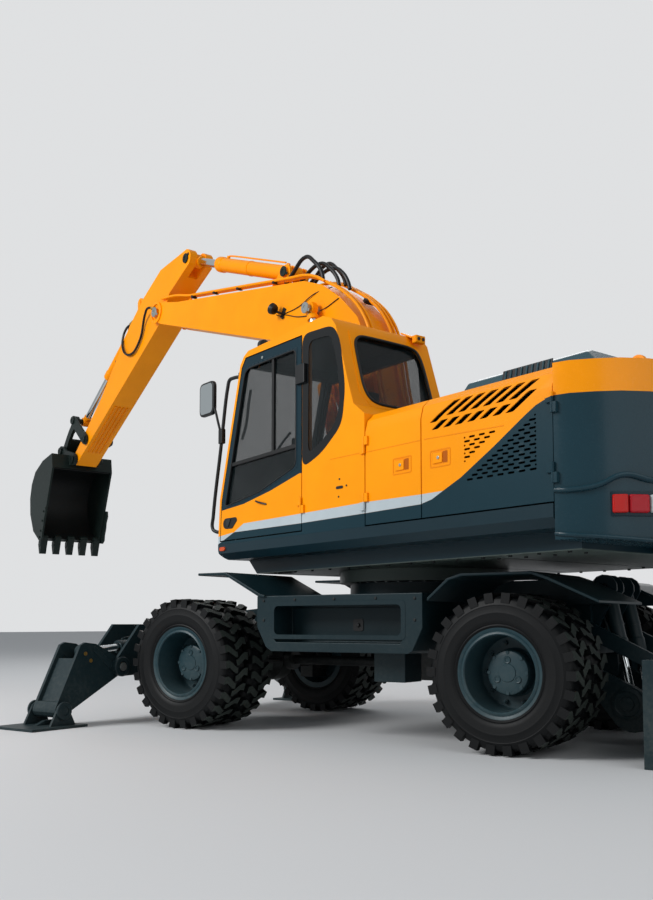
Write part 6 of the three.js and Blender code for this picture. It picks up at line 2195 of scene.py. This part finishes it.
    def seat(self) -> None:
        """Model the sprung seat: cushion, back and headrest, crowned between sewn edges."""
        def pad(name: str, low: Point, high: Point, crown: float) -> Piece:
            """Model a crowned cushion.

            Args:
                name: Its name.
                low: Its lowest corner.
                high: Its highest corner.
                crown: How far its middle stands out.

            Returns:
                The cushion.
            """
            cushion = block(name, low, high)
            activate(cushion)
            bpy.ops.object.mode_set(mode="EDIT")
            bpy.ops.mesh.select_all(action="SELECT")
            bpy.ops.mesh.subdivide(number_cuts=5)
            bpy.ops.object.mode_set(mode="OBJECT")
            centre = [(a + b) / 2 for a, b in zip(low, high)]
            half = [(b - a) / 2 for a, b in zip(low, high)]
            thin = half.index(min(half))
            wide = [i for i in range(3) if i != thin]
            for vertex in cushion.data.vertices:
                u, v = ((vertex.co[i] - centre[i]) / half[i] for i in wide)
                swell = (1 - u * u) * (1 - v * v)
                groove = 0.5 * math.exp(-((abs(u) - 0.62) ** 2) / 0.012)
                vertex.co[thin] += math.copysign(crown * (swell - groove), vertex.co[thin] - centre[thin])
            rounded(cushion, 0.02, 2, 50)
            modifier = cushion.modifiers.new("soft", "SUBSURF")
            modifier.levels = modifier.render_levels = 1
            bpy.ops.object.modifier_apply(modifier=modifier.name)
            return cushion

        base = pad("base", (-0.17, 0.575, 1.855), (0.27, 1.025, 1.955), 0.02)
        back = pad("back", (-0.05, 0.585, 1.97), (0.05, 1.015, 2.5), 0.02)
        back.data.transform(at(-0.165, 0, 0) @ spun(-5, "Y"))
        back.data.transform(at(0.16, 0, 0.02))
        head = pad("head", (-0.035, 0.68, 2.53), (0.035, 0.92, 2.65), 0.01)
        head.data.transform(at(-0.205, 0, 0))
        cushions = joined("cushions", [base, back, head])
        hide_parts("seat")
        self.shop.fit(cushions, "seat_cushions", "upper", "seat_fabric", UPPER, 60)
        frame_piece = [rounded(block("pan", (-0.18, 0.6, 1.832), (0.24, 1.0, 1.858)), 0.006, 2)]
        frame_piece += [
            rounded(block("rest", (-0.1, y - 0.03, 2.125), (0.18, y + 0.03, 2.165)), 0.012, 3)
            for y in (0.545, 1.055)
        ]
        self.shop.fit(joined("frame", frame_piece), "seat_frame", "upper", "black_plastic", UPPER)

    def mirror(self) -> None:
        """Fit the mirror, its bent tube arm and its feet."""
        tube = hose(
            "tube",
            [
                (1.232, 1.215, 1.64), (1.3, 1.232, 1.65), (1.338, 1.24, 1.68), (1.33, 1.24, 1.78),
                (1.215, 1.24, 2.35), (1.105, 1.24, 2.88), (1.08, 1.238, 2.935), (1.03, 1.23, 2.945),
                (0.935, 1.215, 2.94),
            ],
            0.0155, 4,
        )
        feet = [
            rounded(block("foot", (x, 1.192, z - 0.032), (x + 0.018, 1.238, z + 0.032)), 0.004, 2)
            for x, z in ((1.2245, 1.64), (0.926, 2.94))
        ]
        clamp = rounded(block("clamp", (1.165, 1.22, 2.4), (1.225, 1.262, 2.53)), 0.008, 2)
        stay = hose(
            "stay", [(1.195, 1.245, 2.47), (1.22, 1.262, 2.58), (1.27, 1.262, 2.7), (1.31, 1.262, 2.78)], 0.011
        )
        arms = joined("arms", [tube, *feet, clamp, stay])
        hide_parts("mirror")
        self.shop.fit(arms, "mirror_arm", "upper", "black_plastic", UPPER)
        shell = rounded(prism("shell", rounded_box(1.275, 1.515, 2.675, 2.975, 0.05), 1.245, 1.283), 0.01, 3)
        self.shop.fit(shell, "mirror_head", "upper", "black_plastic", UPPER)
        glass = prism("glass", rounded_box(1.293, 1.497, 2.693, 2.957, 0.04), 1.2815, 1.2845)
        self.shop.fit(glass, "mirror_face", "upper", "mirror_glass", UPPER)


@dataclass
class Studio:
    """Camera, floor and soft light."""

    eye: Point = (-3.95, 6.96, 0.852)
    ahead: Point = (0.5776, -0.8132, 0.0726)
    lens: float = 38.23
    shift_up: float = 0.116
    ambient: float = 0.38
    seen_in_gloss: float = 0.4

    def build(self) -> None:
        """Set the camera, the floor, the lamps and the world."""
        data = bpy.data.cameras.new("camera")
        data.lens, data.sensor_width, data.shift_y = self.lens, 36.0, self.shift_up
        data.clip_end = 300.0
        camera = bpy.data.objects.new("camera", data)
        bpy.context.scene.collection.objects.link(camera)
        camera.location = CHASSIS_ORIGIN + Vector(self.eye)
        camera.rotation_euler = Vector(self.ahead).to_track_quat("-Z", "Y").to_euler()
        bpy.context.scene.camera = camera
        deselect()
        bpy.ops.mesh.primitive_grid_add(x_subdivisions=4, y_subdivisions=4, size=160.0, location=(0, 0, -0.001))
        floor = settle(named("floor"))
        material, _, shader = started("floor_paper")
        shader.inputs["Base Color"].default_value = (0.66, 0.67, 0.68, 1)
        shader.inputs["Roughness"].default_value = 0.85
        floor.data.materials.append(material)
        lamps = (
            ("key", (5.0, 12.5, 9.0), 6.0, 1750.0), ("fill", (-11, 5, 6), 9.0, 260.0),
            ("back", (3, -12, 9), 9.0, 500.0),
        )
        for name, spot, size, power in lamps:
            light = bpy.data.lights.new(name, "AREA")
            light.size, light.energy = size, power
            lamp = bpy.data.objects.new(name, light)
            bpy.context.scene.collection.objects.link(lamp)
            lamp.location = spot
            lamp.rotation_euler = (Vector((0, 0, 1.5)) - Vector(spot)).to_track_quat("-Z", "Y").to_euler()
        world = bpy.data.worlds.new("studio")
        bpy.context.scene.world = world
        world.use_nodes = True
        s = Sheet(world.node_tree)
        ambient = world.node_tree.nodes["Background"]
        ambient.inputs["Color"].default_value = (0.8, 0.84, 0.88, 1)
        ambient.inputs["Strength"].default_value = self.ambient
        backdrop = s.node("ShaderNodeBackground")
        backdrop.inputs["Color"].default_value = (0.74, 0.75, 0.76, 1)
        rays = s.node("ShaderNodeLightPath")
        glossy = rays.outputs["Is Glossy Ray"]
        seen = s.math("MAXIMUM", rays.outputs["Is Camera Ray"], s.math("MULTIPLY", glossy, self.seen_in_gloss))
        seen = s.math("MAXIMUM", seen, rays.outputs["Is Transmission Ray"])
        mixed = s.node("ShaderNodeMixShader")
        s.feed(mixed.inputs[0], seen)
        s.feed(mixed.inputs[1], ambient.outputs[0])
        s.feed(mixed.inputs[2], backdrop.outputs[0])
        s.feed(world.node_tree.nodes["World Output"].inputs[0], mixed.outputs[0])
        bpy.context.scene.view_settings.view_transform = "Standard"


def main() -> None:
    """Build the machine in order."""
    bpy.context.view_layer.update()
    Studio().build()
    shop = Workshop()
    Undercarriage(shop).build()
    UpperStructure(shop).build()
    Cab(shop).build()
    Attachment(shop).build()
    deselect()


if __name__ == "__main__":
    main()
